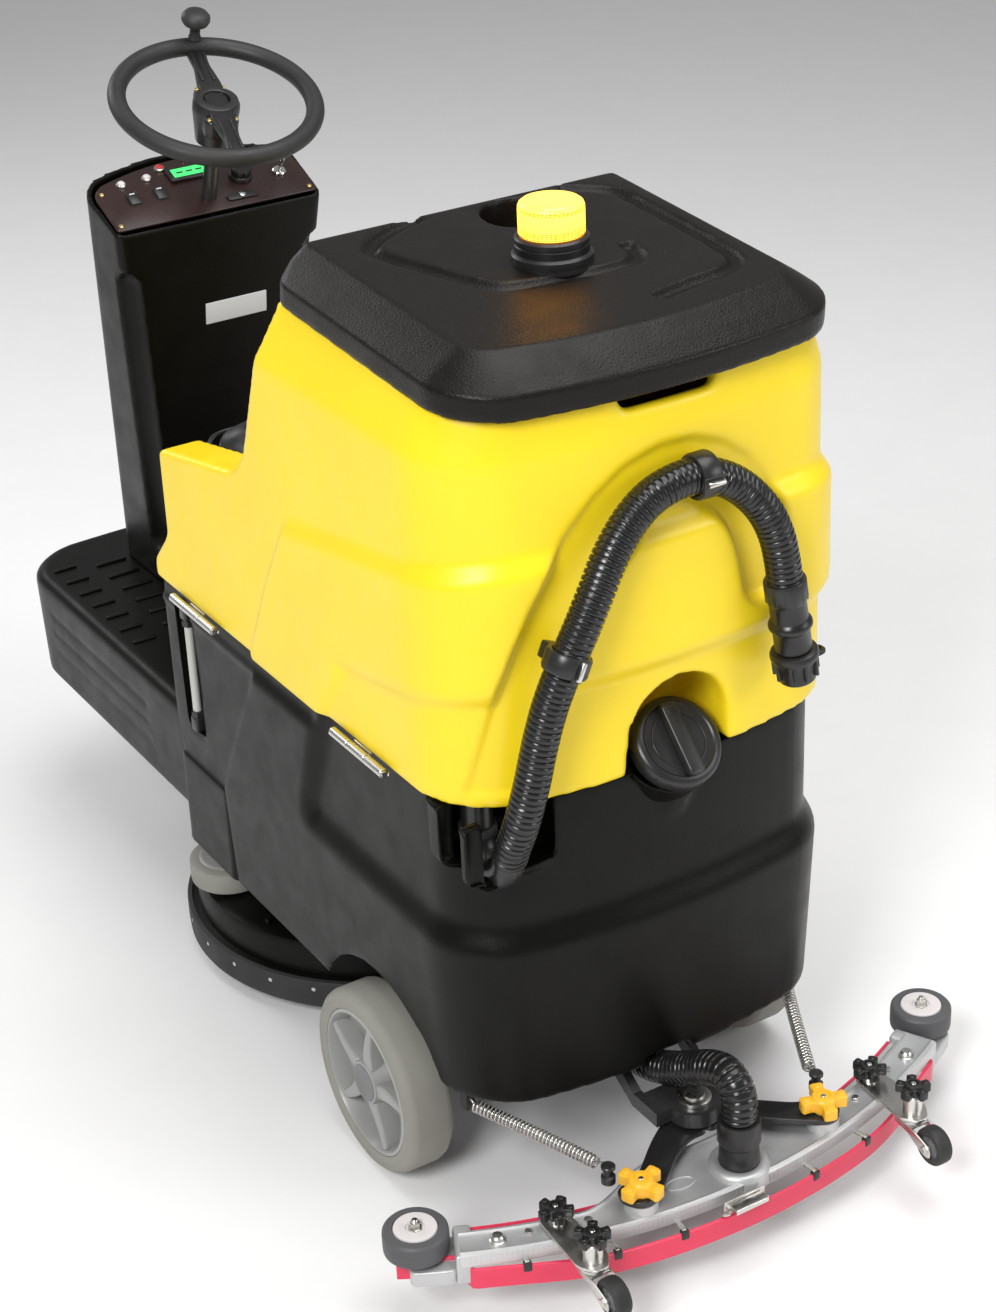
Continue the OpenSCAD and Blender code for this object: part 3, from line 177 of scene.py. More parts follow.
WHITE_HUB = finish("pale_hub", (0.68, 0.64, 0.64), 0.4, 500, 0.08, 0.06, 0.08, wear=0.15)
SMALL_TYRE = finish("dark_grey_tyre", (0.075, 0.075, 0.08), 0.55, 600, 0.25, 0.12)
STEEL = finish("zinc_steel", (0.62, 0.61, 0.58), 0.30, 220, 0.06, 0.08, 0.12, 1.0, wear=0.2)
CHROME = finish("chrome", (0.80, 0.80, 0.79), 0.12, 300, 0.02, 0.04, 0.05, 1.0, wear=0.0)
ALUMINIUM = finish("cast_aluminium", (0.52, 0.525, 0.53), 0.46, 420, 0.5, 0.05, 0.10, 0.6, wear=0.3,
                   wear_colour=(0.85, 0.85, 0.84))
BRASS = finish("brass", (0.72, 0.52, 0.22), 0.3, 300, 0.05, 0.08, 0.1, 1.0)
PINK = finish("pink_polyurethane", (0.70, 0.03, 0.085), 0.38, 240, 0.08, 0.10, 0.08, wear=0.1,
              subsurface=0.05)
ORANGE = finish("orange_knob", (0.95, 0.50, 0.025), 0.35, 400, 0.08, 0.05, 0.06, wear=0.2,
                wear_colour=(1.0, 0.66, 0.15), subsurface=0.05)
MAROON = finish("console_overlay", (0.028, 0.012, 0.011), 0.28, 300, 0.03, 0.2, 0.05, wear=0.0)
CAST = finish("painted_casting", (0.05, 0.05, 0.052), 0.5, 350, 0.3, 0.15)
BATTERY = finish("battery_case", (0.045, 0.045, 0.05), 0.45, 300, 0.1, 0.15)
BRISTLE = finish("bristle", (0.03, 0.06, 0.16), 0.6, 600, 0.6, 0.4, 0.1, wear=0.0)
CLEAR = finish("sight_tube", (0.50, 0.50, 0.47), 0.3, 200, 0.03, 0.06, 0.08, wear=0.0)
LABEL = finish("blank_label", (0.55, 0.56, 0.58), 0.35, 300, 0.03, 0.05, 0.08, wear=0.0)
RED_MARK = finish("red_mark", (0.6, 0.03, 0.02), 0.3, 300, 0.02, 0.05, wear=0.0)
SEAT = finish("seat_vinyl", (0.012, 0.012, 0.013), 0.44, 420, 0.5, 0.2, 0.08, wear=0.1)


def glowing(name, colour, strength, rough=0.2):
    made = finish(name, colour, rough, 300, 0.02, 0.03, 0.05, wear=0.0)
    shader = made.node_tree.nodes["Principled BSDF"]
    shader.inputs["Emission Color"].default_value = (*colour, 1)
    shader.inputs["Emission Strength"].default_value = strength
    return made


AMBER = glowing("amber_lens", (1.0, 0.46, 0.05), 3.2)
AMBER_EDGE = glowing("amber_edge", (1.0, 0.22, 0.005), 1.3)
GREEN = glowing("green_screen", (0.05, 0.62, 0.14), 1.2)


# ---------------------------------------------------------------- places in mm

WHEEL_Z = 125
DECK_Y = -500
GUIDE_X, GUIDE_Y = 386, 275
CASTER_X, CASTER_Y = 239, 432
KNOB_X, KNOB_Y = 137, 383
PORT_X, PORT_Y = -6, 385


# ---------------------------------------------------------------- mesh helpers

def put(x, y, z):
    return Vector((x * MM, (y + AXLE_Y) * MM, z * MM))


def at(x, y, z):
    """A frame at a place in mm, y counted from the axle."""
    return Matrix.Translation(put(x, y, z))


def shift(x, y, z):
    """A move in mm."""
    return Matrix.Translation((x * MM, y * MM, z * MM))


def spin(degrees, axis="Z"):
    return Matrix.Rotation(math.radians(degrees), 4, axis)


def share_of_turn(k, count):
    """Turned about Z by k parts of count."""
    return Matrix.Rotation(2 * math.pi * k / count, 4, "Z")


def made_from(name, points, faces, material, smooth=True):
    mesh = bpy.data.meshes.new(name)
    mesh.from_pydata([tuple(p) for p in points], [], faces)
    mesh.validate()
    obj = bpy.data.objects.new(name, mesh)
    bpy.context.collection.objects.link(obj)
    mesh.materials.append(material)
    if smooth:
        for polygon in mesh.polygons:
            polygon.use_smooth = True
    return obj


def loft(name, rings, material, smooth=True, closed=False):
    """Rings of points in metres, skinned; capped at both ends unless closed into a loop."""
    count = len(rings[0])
    points = [p for ring in rings for p in ring]
    faces = []
    last = len(rings) if closed else len(rings) - 1
    for i in range(last):
        a, b = i * count, ((i + 1) % len(rings)) * count
        faces += [(a + k, a + (k + 1) % count, b + (k + 1) % count, b + k) for k in range(count)]
    if not closed:
        faces.append(tuple(range(count - 1, -1, -1)))
        faces.append(tuple(len(points) - count + k for k in range(count)))
    obj = made_from(name, points, faces, material, smooth)
    outward(obj)
    return obj


def outward(obj):
    work = bmesh.new()
    work.from_mesh(obj.data)
    bmesh.ops.recalc_face_normals(work, faces=work.faces)
    work.to_mesh(obj.data)
    work.free()


def active(obj):
    for other in bpy.context.selected_objects:
        other.select_set(False)
    bpy.context.view_layer.objects.active = obj
    obj.select_set(True)


def applied(obj, kind, **settings):
    modifier = obj.modifiers.new("work", kind)
    for key, value in settings.items():
        setattr(modifier, key, value)
    active(obj)
    bpy.ops.object.modifier_apply(modifier=modifier.name)
    return obj


def cut(obj, *cutters, operation="DIFFERENCE", solver="EXACT"):
    for cutter in cutters:
        applied(obj, "BOOLEAN", object=cutter, operation=operation, solver=solver)
        bpy.data.objects.remove(cutter, do_unlink=True)
    return obj


def softened(obj, voxel=4.5, passes=10, factor=0.6):
    """Voxel remesh and smoothing, so that every edge gets a moulded radius."""
    applied(obj, "REMESH", mode="VOXEL", voxel_size=voxel * MM, use_smooth_shade=True)
    applied(obj, "SMOOTH", iterations=passes, factor=factor)
    return obj


def rounded(obj, width, segments=3, angle=30):
    applied(obj, "BEVEL", width=width * MM, segments=segments, limit_method="ANGLE",
            angle_limit=math.radians(angle), harden_normals=False)
    return shade(obj, angle)


def shade(obj, angle=35):
    active(obj)
    bpy.ops.object.shade_smooth_by_angle(angle=math.radians(angle))
    return obj


def joined(name, *pieces):
    active(pieces[0])
    for piece in pieces:
        piece.select_set(True)
    bpy.ops.object.join()
    pieces[0].name = name
    pieces[0].data.name = name
    return pieces[0]


def prism(name, outline, z0, z1, material, bevel=0.0, frame_matrix=None, segments=3):
    """An outline of [x, y] in mm, extruded from z0 to z1. Given no matrix, y counts from the axle."""
    place = frame_matrix or at(0, 0, 0)
    rings = [[place @ Vector((x * MM, y * MM, z * MM)) for x, y in outline] for z in (z0, z1)]
    obj = loft(name, rings, material, False)
    return rounded(obj, bevel, segments) if bevel else obj


def block(name, x0, x1, y0, y1, z0, z1, material, bevel=0.0, frame_matrix=None):
    return prism(name, [(x0, y0), (x1, y0), (x1, y1), (x0, y1)], z0, z1, material, bevel, frame_matrix)


def turned(name, profile, place, material, steps=48, angle=35):
    """A profile of (radius, height) in mm, turned about the local Z of place; a bored one closes."""
    rings = []
    for radius, height in profile:
        rings.append([place @ Vector((max(radius, 0.01) * MM * math.cos(2 * math.pi * k / steps),
                                      max(radius, 0.01) * MM * math.sin(2 * math.pi * k / steps),
                                      height * MM)) for k in range(steps)])
    ring_like = name != "cutter" and min(profile[0][0], profile[-1][0]) > 2
    obj = loft(name, rings, material, True, ring_like)
    return shade(obj, angle)


def toward(origin, axis, spin=0.0):
    """A frame at origin with its Z along axis."""
    turn = Vector(axis).to_track_quat("Z", "Y").to_matrix().to_4x4()
    return Matrix.Translation(origin) @ turn @ Matrix.Rotation(spin, 4, "Z")


def curve_points(route, step):
    """A Catmull-Rom curve through a route in mm, resampled every step mm."""
    points = [Vector(p) for p in route]
    points = [2 * points[0] - points[1]] + points + [2 * points[-1] - points[-2]]
    fine = []
    for i in range(1, len(points) - 2):
        a, b, c, d = points[i - 1:i + 3]
        for k in range(16):
            t = k / 16
            fine.append(0.5 * ((2 * b) + (c - a) * t + (2 * a - 5 * b + 4 * c - d) * t * t
                               + (3 * b - a - 3 * c + d) * t ** 3))
    fine.append(points[-2])
    spans = [0.0]
    for i in range(1, len(fine)):
        spans.append(spans[-1] + (fine[i] - fine[i - 1]).length)
    count = max(2, round(spans[-1] / step))
    result, j = [], 0
    for i in range(count + 1):
        want = spans[-1] * i / count
        while j < len(spans) - 2 and spans[j + 1] < want:
            j += 1
        share = (want - spans[j]) / max(spans[j + 1] - spans[j], 1e-9)
        result.append(fine[j].lerp(fine[j + 1], min(share, 1)))
    return result


def swept(name, route, radius_at, material, step, sides=24):
    """A tube along a route in mm; radius_at gives the radius at a distance along it."""
    line = curve_points(route, step)
    side = None
    rings, along = [], 0.0
    for i, p in enumerate(line):
        heading = (line[min(i + 1, len(line) - 1)] - line[max(i - 1, 0)]).normalized()
        side = (side or Vector((1, 0.01, 0.02))) - heading * heading.dot(side or Vector((1, 0.01, 0.02)))
        side.normalize()
        over = heading.cross(side)
        if i:
            along += (p - line[i - 1]).length
        r = radius_at(along)
        rings.append([put(*(p + side * r * math.cos(2 * math.pi * k / sides)
                            + over * r * math.sin(2 * math.pi * k / sides))) for k in range(sides)])
    return loft(name, rings, material)


def corrugated(outer, inner, pitch):
    """Rounded ribs with narrow grooves between them."""
    def radius(along):
        phase = (along / pitch) % 1.0
        return inner + (outer - inner) * min(1.0, 1.9 * math.sin(math.pi * phase) ** 0.8)
    return radius


def coil(name, route, coil_r, wire_r, pitch, material, sides=6):
    """A wire wound round a route in mm."""
    line = curve_points(route, pitch / 12)
    side = Vector((0, 0, 1))
    centres = []
    for i, p in enumerate(line):
        heading = (line[min(i + 1, len(line) - 1)] - line[max(i - 1, 0)]).normalized()
        side = (side - heading * heading.dot(side)).normalized()
        over = heading.cross(side)
        turn = 2 * math.pi * i / 12
        centres.append(p + (side * math.cos(turn) + over * math.sin(turn)) * coil_r)
    rings, side = [], Vector((0, 0, 1))
    for i, p in enumerate(centres):
        heading = (centres[min(i + 1, len(centres) - 1)] - centres[max(i - 1, 0)]).normalized()
        side = (side - heading * heading.dot(side)).normalized()
        over = heading.cross(side)
        rings.append([put(*(p + side * wire_r * math.cos(2 * math.pi * k / sides)
                            + over * wire_r * math.sin(2 * math.pi * k / sides)))
                      for k in range(sides)])
    return loft(name, rings, material)


def piece(obj, body, material_slot, *nodes):
    """A finished piece: parents it to the body it rides on and hides the CAD nodes it stands for."""
    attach(obj, body)
    if nodes:
        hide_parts(*nodes)
    return obj


def repaint(node, material):
    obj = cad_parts[node]
    for place in obj.material_slots:
        place.material = material


# ---------------------------------------------------------------- routes, outlines and shells

# The hoses' middle lines
DRAIN_ROUTE = [[222, 254, 566], [221, 264, 590], [216, 276, 625], [206, 282, 670], [194, 284, 720],
               [182, 288, 765], [166, 294, 810], [148, 299, 850], [126, 298, 890], [102, 292, 925],
               [74, 287, 955], [44, 285, 976], [10, 285, 986], [-22, 285, 985], [-54, 286, 973],
               [-82, 289, 952], [-104, 294, 924], [-118, 298, 892], [-126, 299, 858], [-130, 299, 832]]
VAC_ROUTE = [[18, 92, 349], [18, 92, 300], [18, 92, 250], [18, 97, 213], [18, 114, 185], [18, 140, 171],
             [17, 170, 166], [15, 200, 167], [12, 235, 174], [6, 272, 189], [0, 305, 208], [-4, 335, 225],
             [-6, 360, 231], [-6, 378, 223], [-6, 385, 206], [-6, 385, 181]]

# The body in plan: half width, front, rear and the rear's bow; then the tanks' seam and rim
SIDE = 278.0
FRONT = -560.0
REAR = 225.0
BOW = 40.0
SEAM = 620.0
RIM = 1120.0
LID_FRONT = -172.0
LID_TILT = math.radians(4)


def outline(hw, yf, yr, rf, rr, bow, steps=10, rows=14):
    """A rounded outline in plan whose rear edge bows outwards."""
    points = []

    def corner(cx, cy, r, start):
        for k in range(steps + 1):
            a = math.radians(start + 90 * k / steps)
            points.append((cx + r * math.cos(a), cy + r * math.sin(a)))

    def row(x0, x1, y):
        for k in range(1, rows):
            points.append((x0 + (x1 - x0) * k / rows, y))

    corner(hw - rr, yr - rr, rr, 0)
    row(hw - rr, rr - hw, yr)
    corner(rr - hw, yr - rr, rr, 90)
    corner(rf - hw, yf + rf, rf, 180)
    row(rf - hw, hw - rf, yf)
    corner(hw - rf, yf + rf, rf, 270)
    mid = (yf + yr) / 2
    return [(x, y + bow * (1 - (x / hw) ** 2)) if y > mid else (x, y) for x, y in points]


def stack(name, levels, material):
    """Lofts outlines, each given as (height, outline)."""
    return loft(name, [[put(x, y, z) for x, y in points] for z, points in levels], material, False)


def smooth01(value):
    t = np.clip(value, 0.0, 1.0)
    return t * t * (3 - 2 * t)


def pushed(obj, amount_at):
    """Moves each vertex along its normal in plan by amount_at(x, y, z) mm, all arrays in mm."""
    mesh = obj.data
    count = len(mesh.vertices)
    spots = np.empty(count * 3, dtype=np.float64)
    mesh.vertices.foreach_get("co", spots)
    spots = spots.reshape(-1, 3)
    normals = np.empty(count * 3, dtype=np.float32)
    mesh.vertex_normals.foreach_get("vector", normals)
    normals = normals.reshape(-1, 3).astype(np.float64)
    flat = normals.copy()
    flat[:, 2] = 0
    size = np.linalg.norm(flat, axis=1)
    flat /= np.maximum(size, 1e-6)[:, None]
    share = smooth01((size - 0.15) / 0.4)
    amount = amount_at(spots[:, 0] / MM, spots[:, 1] / MM - AXLE_Y, spots[:, 2] / MM)
    spots += flat * (amount * share * MM)[:, None]
    mesh.vertices.foreach_set("co", spots.reshape(-1))
    mesh.update()
    return obj


def hull(name, points):
    mesh = bpy.data.meshes.new(name)
    work = bmesh.new()
    for p in points:
        work.verts.new(p)
    found = bmesh.ops.convex_hull(work, input=work.verts)
    loose = [v for v in found["geom_interior"] if isinstance(v, bmesh.types.BMVert)]
    bmesh.ops.delete(work, geom=loose, context="VERTS")
    work.to_mesh(mesh)
    work.free()
    obj = bpy.data.objects.new(name, mesh)
    bpy.context.collection.objects.link(obj)
    outward(obj)
    return obj


def cylinder_x(r, x0, x1, y, z, steps=96):
    place = at(x0, y, z) @ spin(90, "Y")
    return turned("cutter", [(r, 0), (r, x1 - x0)], place, BLACK, steps)


def cylinder_z(r, x, y, z0, z1, steps=64):
    return turned("cutter", [(r, z0), (r, z1)], at(x, y, 0), BLACK, steps)


def side_prism(points, x0, x1):
    """A cutter with the outline [y, z], running from x0 to x1."""
    rings = [[put(x, y, z) for y, z in points] for x in (x0, x1)]
    return loft("cutter", rings, BLACK, False)


def back_prism(points, y0, y1, grow=1.0, centre=(0, 0)):
    """A cutter with the outline [x, z] at y0, scaled by grow about centre at y1."""
    cx, cz = centre
    rings = [[put(x, y0, z) for x, z in points],
             [put(cx + (x - cx) * grow, y1, cz + (z - cz) * grow) for x, z in points]]
    return loft("cutter", rings, BLACK, False)


def rounded_corners(points, r, steps=6):
    """Rounds each corner of a polygon."""
    result = []
    for i, p in enumerate(points):
        p = Vector(p)
        a = Vector(points[i - 1]) - p
        b = Vector(points[(i + 1) % len(points)]) - p
        reach = min(r, a.length * 0.45, b.length * 0.45)
        start, end = p + a.normalized() * reach, p + b.normalized() * reach
        for k in range(steps + 1):
            t = k / steps
            result.append(tuple(start * (1 - t) ** 2 + p * 2 * t * (1 - t) + end * t * t))
    return result


# ---------------------------------------------------------------- recovery tank

def hose_distance(x, z):
    """Distance in the rear view from the hose's route."""
    best = np.full(x.shape, 1e6)
    points = [(p[0], p[2]) for p in DRAIN_ROUTE]
    for (x0, z0), (x1, z1) in zip(points, points[1:]):
        dx, dz = x1 - x0, z1 - z0
        t = np.clip(((x - x0) * dx + (z - z0) * dz) / (dx * dx + dz * dz), 0, 1)
        best = np.minimum(best, np.hypot(x - x0 - t * dx, z - z0 - t * dz))
    return best


def tank_bulge(x, y, z):
    """How far the tank's walls stand proud of their base outline."""
    left_crease = np.interp(z, [636, 755, 881], [-262, -201, -124])
    front = smooth01((y - left_crease) / 9)
    recess_front = np.interp(z, [620, 700], [-86, -30])
    recess_top = np.interp(y, [-43, 225], [700, 750])
    low = smooth01((y - recess_front) / 22) * smooth01((recess_top + 26 - z) / 30)
    step_low = np.interp(y, [-131, 153, 280], [838, 891, 915])
    step_high = np.interp(y, [-136, 147, 280], [868, 917, 942])
    upper = 1 - smooth01((z - step_low) / (step_high - step_low))
    behind = smooth01((y - 150) / 60)
    channel = 1 - smooth01((hose_distance(x, z) - 33) / 7)
    channel = np.where((y > 150) & (z > 640), channel, 0)
    return (9.0 + 4.5 * behind) * front * (1 - low) * upper * (1 - channel) - 5.0 * channel


def make_recovery_tank():
    levels = []
    for z, inset in ((SEAM + 1, 0), (1040, 3), (1056, 9), (1100, 25), (1122, 31)):
        levels.append((z, outline(SIDE - inset, FRONT, REAR - inset * 0.15, 15, 84 - inset * 0.5,
                                  BOW - inset * 0.25)))
    tank = stack("recovery_tank_shell", levels, YELLOW)
    slope = side_prism([(-700, RIM), (LID_FRONT, RIM), (400, RIM - 572 * math.tan(LID_TILT)), (400, 1300),
                        (-700, 1300)], -400, 400)
    front = side_prism([(-700, 600), (-560.5, 600), (-560.5, 640), (-505, 700), (-505, 822), (-290, 866),
                        (-266, 880), (-250, 903), (-160, 1140), (-160, 1200), (-700, 1200)], -400, 400)
    well = block("cutter", -215, 215, -700, -245, 745, 1300, BLACK)
    well = rounded(well, 12, 3, 60)
    motor = block("cutter", 14 - SIDE, SIDE - 14, -510, -264, 610, 739, BLACK)
    inner = stack("cutter", [(750, outline(SIDE - 14, -233, 213, 14, 72, BOW)),
                             (930, outline(SIDE - 16, -230, 210, 14, 70, BOW)),
                             (1180, outline(SIDE - 52, -130, 205, 14, 50, 32))], BLACK)
    arch = [(62, 600)] + [(-10 + 66 * math.cos(a), 665 + 64 * math.sin(a))
                               for a in [math.pi * k / 24 for k in range(25)]] + [(-76, 600)]
    arch_cut = back_prism(arch, 160, 340, 1.08, (-10, 665))
    notch = back_prism(rounded_corners([(61, 1140), (61, 1071), (-65, 1071), (-65, 1140)], 12), 240, 330)
    cut(tank, slope, front, well, motor, inner, arch_cut, notch)
    softened(tank, 4.6, 8)
    pushed(tank, tank_bulge)
    applied(tank, "SMOOTH", iterations=3, factor=0.5)
    return piece(tank, "recovery_tank", "yellow_plastic", "recovery_tank")


# ---------------------------------------------------------------- solution tank, the black body

def body_bulge(x, y, z):
    rear_edge = np.interp(z, [424, 577], [-177, -130])
    inner_edge = np.interp(z, [463, 599], [-132, -74])
    behind = smooth01((y - rear_edge) / np.maximum(inner_edge - rear_edge, 1))
    above = smooth01((z - 416) / 42)
    lip = smooth01((z - 577) / 23)
    front_crease = np.interp(z, [358, 594], [-414, -279])
    ahead = 1 - smooth01((y - front_crease) / 10)
    side = (np.abs(x) > 200)
    back = -15.0 * above * behind
    top = -9.0 * lip * (1 - behind)
    nose = -8.0 * ahead * (1 - lip)
    return np.where(side | (y > 120), np.minimum(np.minimum(back, top), nose), 0)


def make_solution_tank():
    base = [(200, 9), (416, 0), (458, 0), (619, 0)]
    levels = [(z, outline(SIDE - inset, FRONT, REAR + 3 - inset * 0.6, 9, 84, BOW)) for z, inset in base]
    tank = stack("solution_tank_shell", levels, BLACK_SHELL)
    neck_place = toward(put(-10, 248, 634), (0, 1, 1))
    turns = [2 * math.pi * k / 10 for k in range(10)]
    collar = [neck_place @ Vector((r * MM * math.cos(a), r * MM * math.sin(a), z * MM))
              for r, z in ((58, -7), (52, -40)) for a in turns]
    foot = [put(-10 + 15 * math.cos(a), 240 + 20 * math.sin(a), 502 + 8 * math.sin(a)) for a in turns]
    neck = hull("cutter", collar + foot + [put(-10, 215, 600), put(-10, 215, 520)])
    cut(tank, neck, operation="UNION")
    rim = back_prism(rounded_corners([(267, 622), (267, 527), (156, 527), (156, 622)], 16), 226, 256, 0.97,
                     (211, 560))
    cut(tank, rim, operation="UNION")
    under = stack("cutter", [(190, outline(SIDE - 15, FRONT + 6, REAR - 16, 8, 72, BOW)),
                             (350, outline(SIDE - 15, FRONT + 6, REAR - 16, 8, 72, BOW))], BLACK)
    bay = block("cutter", -92, 92, -520, 70, 400, 640, BLACK)
    recess = back_prism(rounded_corners([(259, 640), (259, 537), (164, 537), (164, 640)], 13), 158, 340)
    sight = side_prism(rounded_corners([(-510, 606), (-474, 606), (-466, 404), (-506, 404)], 12), SIDE - 26,
                       SIDE + 20)
    arches = [cylinder_x(160, 222, 300, 0, WHEEL_Z), cylinder_x(160, -300, -222, 0, WHEEL_Z)]
    window = block("cutter", -230, 230, FRONT - 5, FRONT + 12, 150, 350, BLACK)
    above = block("cutter", -300, 300, FRONT - 20, 208, SEAM, 760, BLACK)
    bore = turned("cutter", [(46, -70), (46, 30)], neck_place, BLACK)
    seat = turned("cutter", [(60, -6), (60, 60)], neck_place, BLACK)
    hose_gap = block("cutter", -24, 46, 232, 280, 190, 212, BLACK)
    cut(tank, under, bay, recess, sight, *arches, window, above, bore, seat, hose_gap)
    softened(tank, 4.6, 5)
    pushed(tank, body_bulge)
    applied(tank, "SMOOTH", iterations=2, factor=0.5)
    return piece(tank, "machine", "black_plastic", "solution_tank")


# ---------------------------------------------------------------- platform and console column

NOSE = -1170.0
PLATFORM_Z = 409.0
FORK_Y = -1000.0


def platform_outline(hw, yf):
    """Front platform: wide round corners and a gently bowed nose."""
    points = outline(hw, yf, FRONT - 0.5, 90, 5, 0)
    return [(x, y - 12 * (1 - (x / hw) ** 2)) if y < (yf + FRONT) / 2 else (x, y) for x, y in points]


def make_platform():
    hw = SIDE - 18
    levels = [(236, platform_outline(hw - 4, NOSE + 14)), (PLATFORM_Z - 12, platform_outline(hw, NOSE + 12)),
              (PLATFORM_Z, platform_outline(hw - 9, NOSE + 22))]
    deck = stack("front_platform_shell", levels, BLACK_SHELL)
    inner = stack("cutter", [(225, platform_outline(hw - 10, NOSE + 20)),
                             (PLATFORM_Z - 7, platform_outline(hw - 14, NOSE + 28))], BLACK)
    inner.data.transform(shift(0, -6, 0))
    hole = cylinder_z(36, 0, FORK_Y, 300, 430)
    window = block("cutter", -230, 230, FRONT - 14, FRONT + 5, 150, 350, BLACK)
    cut(deck, inner, hole, window)
    grooves = []
    for side in (-1, 1):
        for k in range(3):
            z = PLATFORM_Z - 56 - 30 * k
            grooves.append(block("cutter", side * (hw + 2) - 6, side * (hw + 2) + 6, NOSE + 130, FRONT - 130,
                                 z - 5, z + 5, BLACK))
    cut(deck, *grooves)
    softened(deck, 4.6, 5)
    ribs = []
    for side in (-1, 1):
        for k in range(7):
            y = NOSE + 100 + 49 * k
            ribs.append(block("rib", side * hw - side * 44 - 18, side * hw - side * 44 + 18, y - 4, y + 4,
                              PLATFORM_Z - 1, PLATFORM_Z + 3, BLACK_SHELL, 1.6))
            ribs.append(block("rib", side * hw - side * 113 - 25, side * hw - side * 113 + 25, y + 16, y + 24,
                              PLATFORM_Z - 1, PLATFORM_Z + 3, BLACK_SHELL, 1.6))
    ears = []
    for side in (-1, 1):
        x = -175 + side * 37
        ears.append(block("ear", x - 3, x + 3, NOSE + 291, NOSE + 309, 408, 432, BLACK, 2))
    pin = cylinder_x(4, -214, -136, NOSE + 300, 423, 24)
    deck = joined("front_platform_shell", deck, *ribs, *ears, pin)
    return piece(deck, "machine", "black_plastic", "front_platform")


STEER = at(0, FORK_Y + 182, 1166) @ spin(-20, "X")
HEAD_SLOPE = math.radians(23.1)
HEAD = at(0, FORK_Y + 165, 1001) @ Matrix((
    (1, 0, 0, 0), (0, -math.cos(HEAD_SLOPE), math.sin(HEAD_SLOPE), 0),
    (0, math.sin(HEAD_SLOPE), math.cos(HEAD_SLOPE), 0), (0, 0, 0, 1)))
HEAD_W = round((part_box("console_column")[1].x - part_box("console_column")[0].x) / MM)


def column_outline(z, inset=0):
    t = (z - PLATFORM_Z) / (1060 - PLATFORM_Z)
    hw = (112 + (HEAD_W / 2 + 1 - 112) * t) - inset
    front = FORK_Y - 85 + 0.219 * (z - PLATFORM_Z) + inset
    rear = FORK_Y + 75 + 0.152 * (z - PLATFORM_Z) - inset
    points = outline(hw, front, rear, 32, 24 - 14 * t - inset * 0.3, 0)
    bow = 6 + 30 * t
    mid = (front + rear) / 2
    return [(x, y - bow * (1 - (x / hw) ** 2)) if y < mid else (x, y) for x, y in points]


def scoop(side, r):
    start, end = put(side * (HEAD_W / 2 - 6), FORK_Y + 155, 913), put(side * 126, FORK_Y + 85,
                                                                      PLATFORM_Z + 70)
    place = toward(start, end - start)
    length = (end - start).length / MM
    profile = [(0.1, -r), (r * 0.6, -r * 0.8), (r * 0.95, -r * 0.3), (r, 0), (r, length),
               (r * 0.9, length + r * 0.4),
               (r * 0.5, length + r * 0.85), (0.1, length + r)]
    return turned("cutter", profile, place, BLACK)


def make_column():
    column = stack("console_column_shell", [(z, column_outline(z)) for z in (PLATFORM_Z + 0.5, 620, 840,
                                                                             1060)],
                   BLACK_SHELL)
    inside = stack("cutter", [(z, column_outline(z, 6)) for z in (PLATFORM_Z - 5, 620, 840, 1080)], BLACK)
    cut(inside, scoop(-1, 36), scoop(1, 36))
    top = prism("cutter", [(-300, -80), (300, -80), (300, 260), (-300, 260)], -3, 200, BLACK, 0, HEAD)
    cut(column, inside, top, scoop(-1, 30), scoop(1, 30))
    softened(column, 3.6, 4)
    plate = block("label_plate", -68, 30, FORK_Y + 137, FORK_Y + 139.5, 833, 866, LABEL, 0.8)
    lean = Matrix.Rotation(math.atan(-0.152), 4, "X")
    middle_spot = put(-19, FORK_Y + 138, 850)
    plate.data.transform(Matrix.Translation(middle_spot) @ lean @ Matrix.Translation(-middle_spot))
    surface = FORK_Y + 75 + 0.152 * (850 - PLATFORM_Z)
    plate.data.transform(shift(0, surface - FORK_Y - 138 + 0.6, 0))
    column = joined("console_column_shell", column, plate)
    return piece(column, "machine", "black_plastic", "console_column")


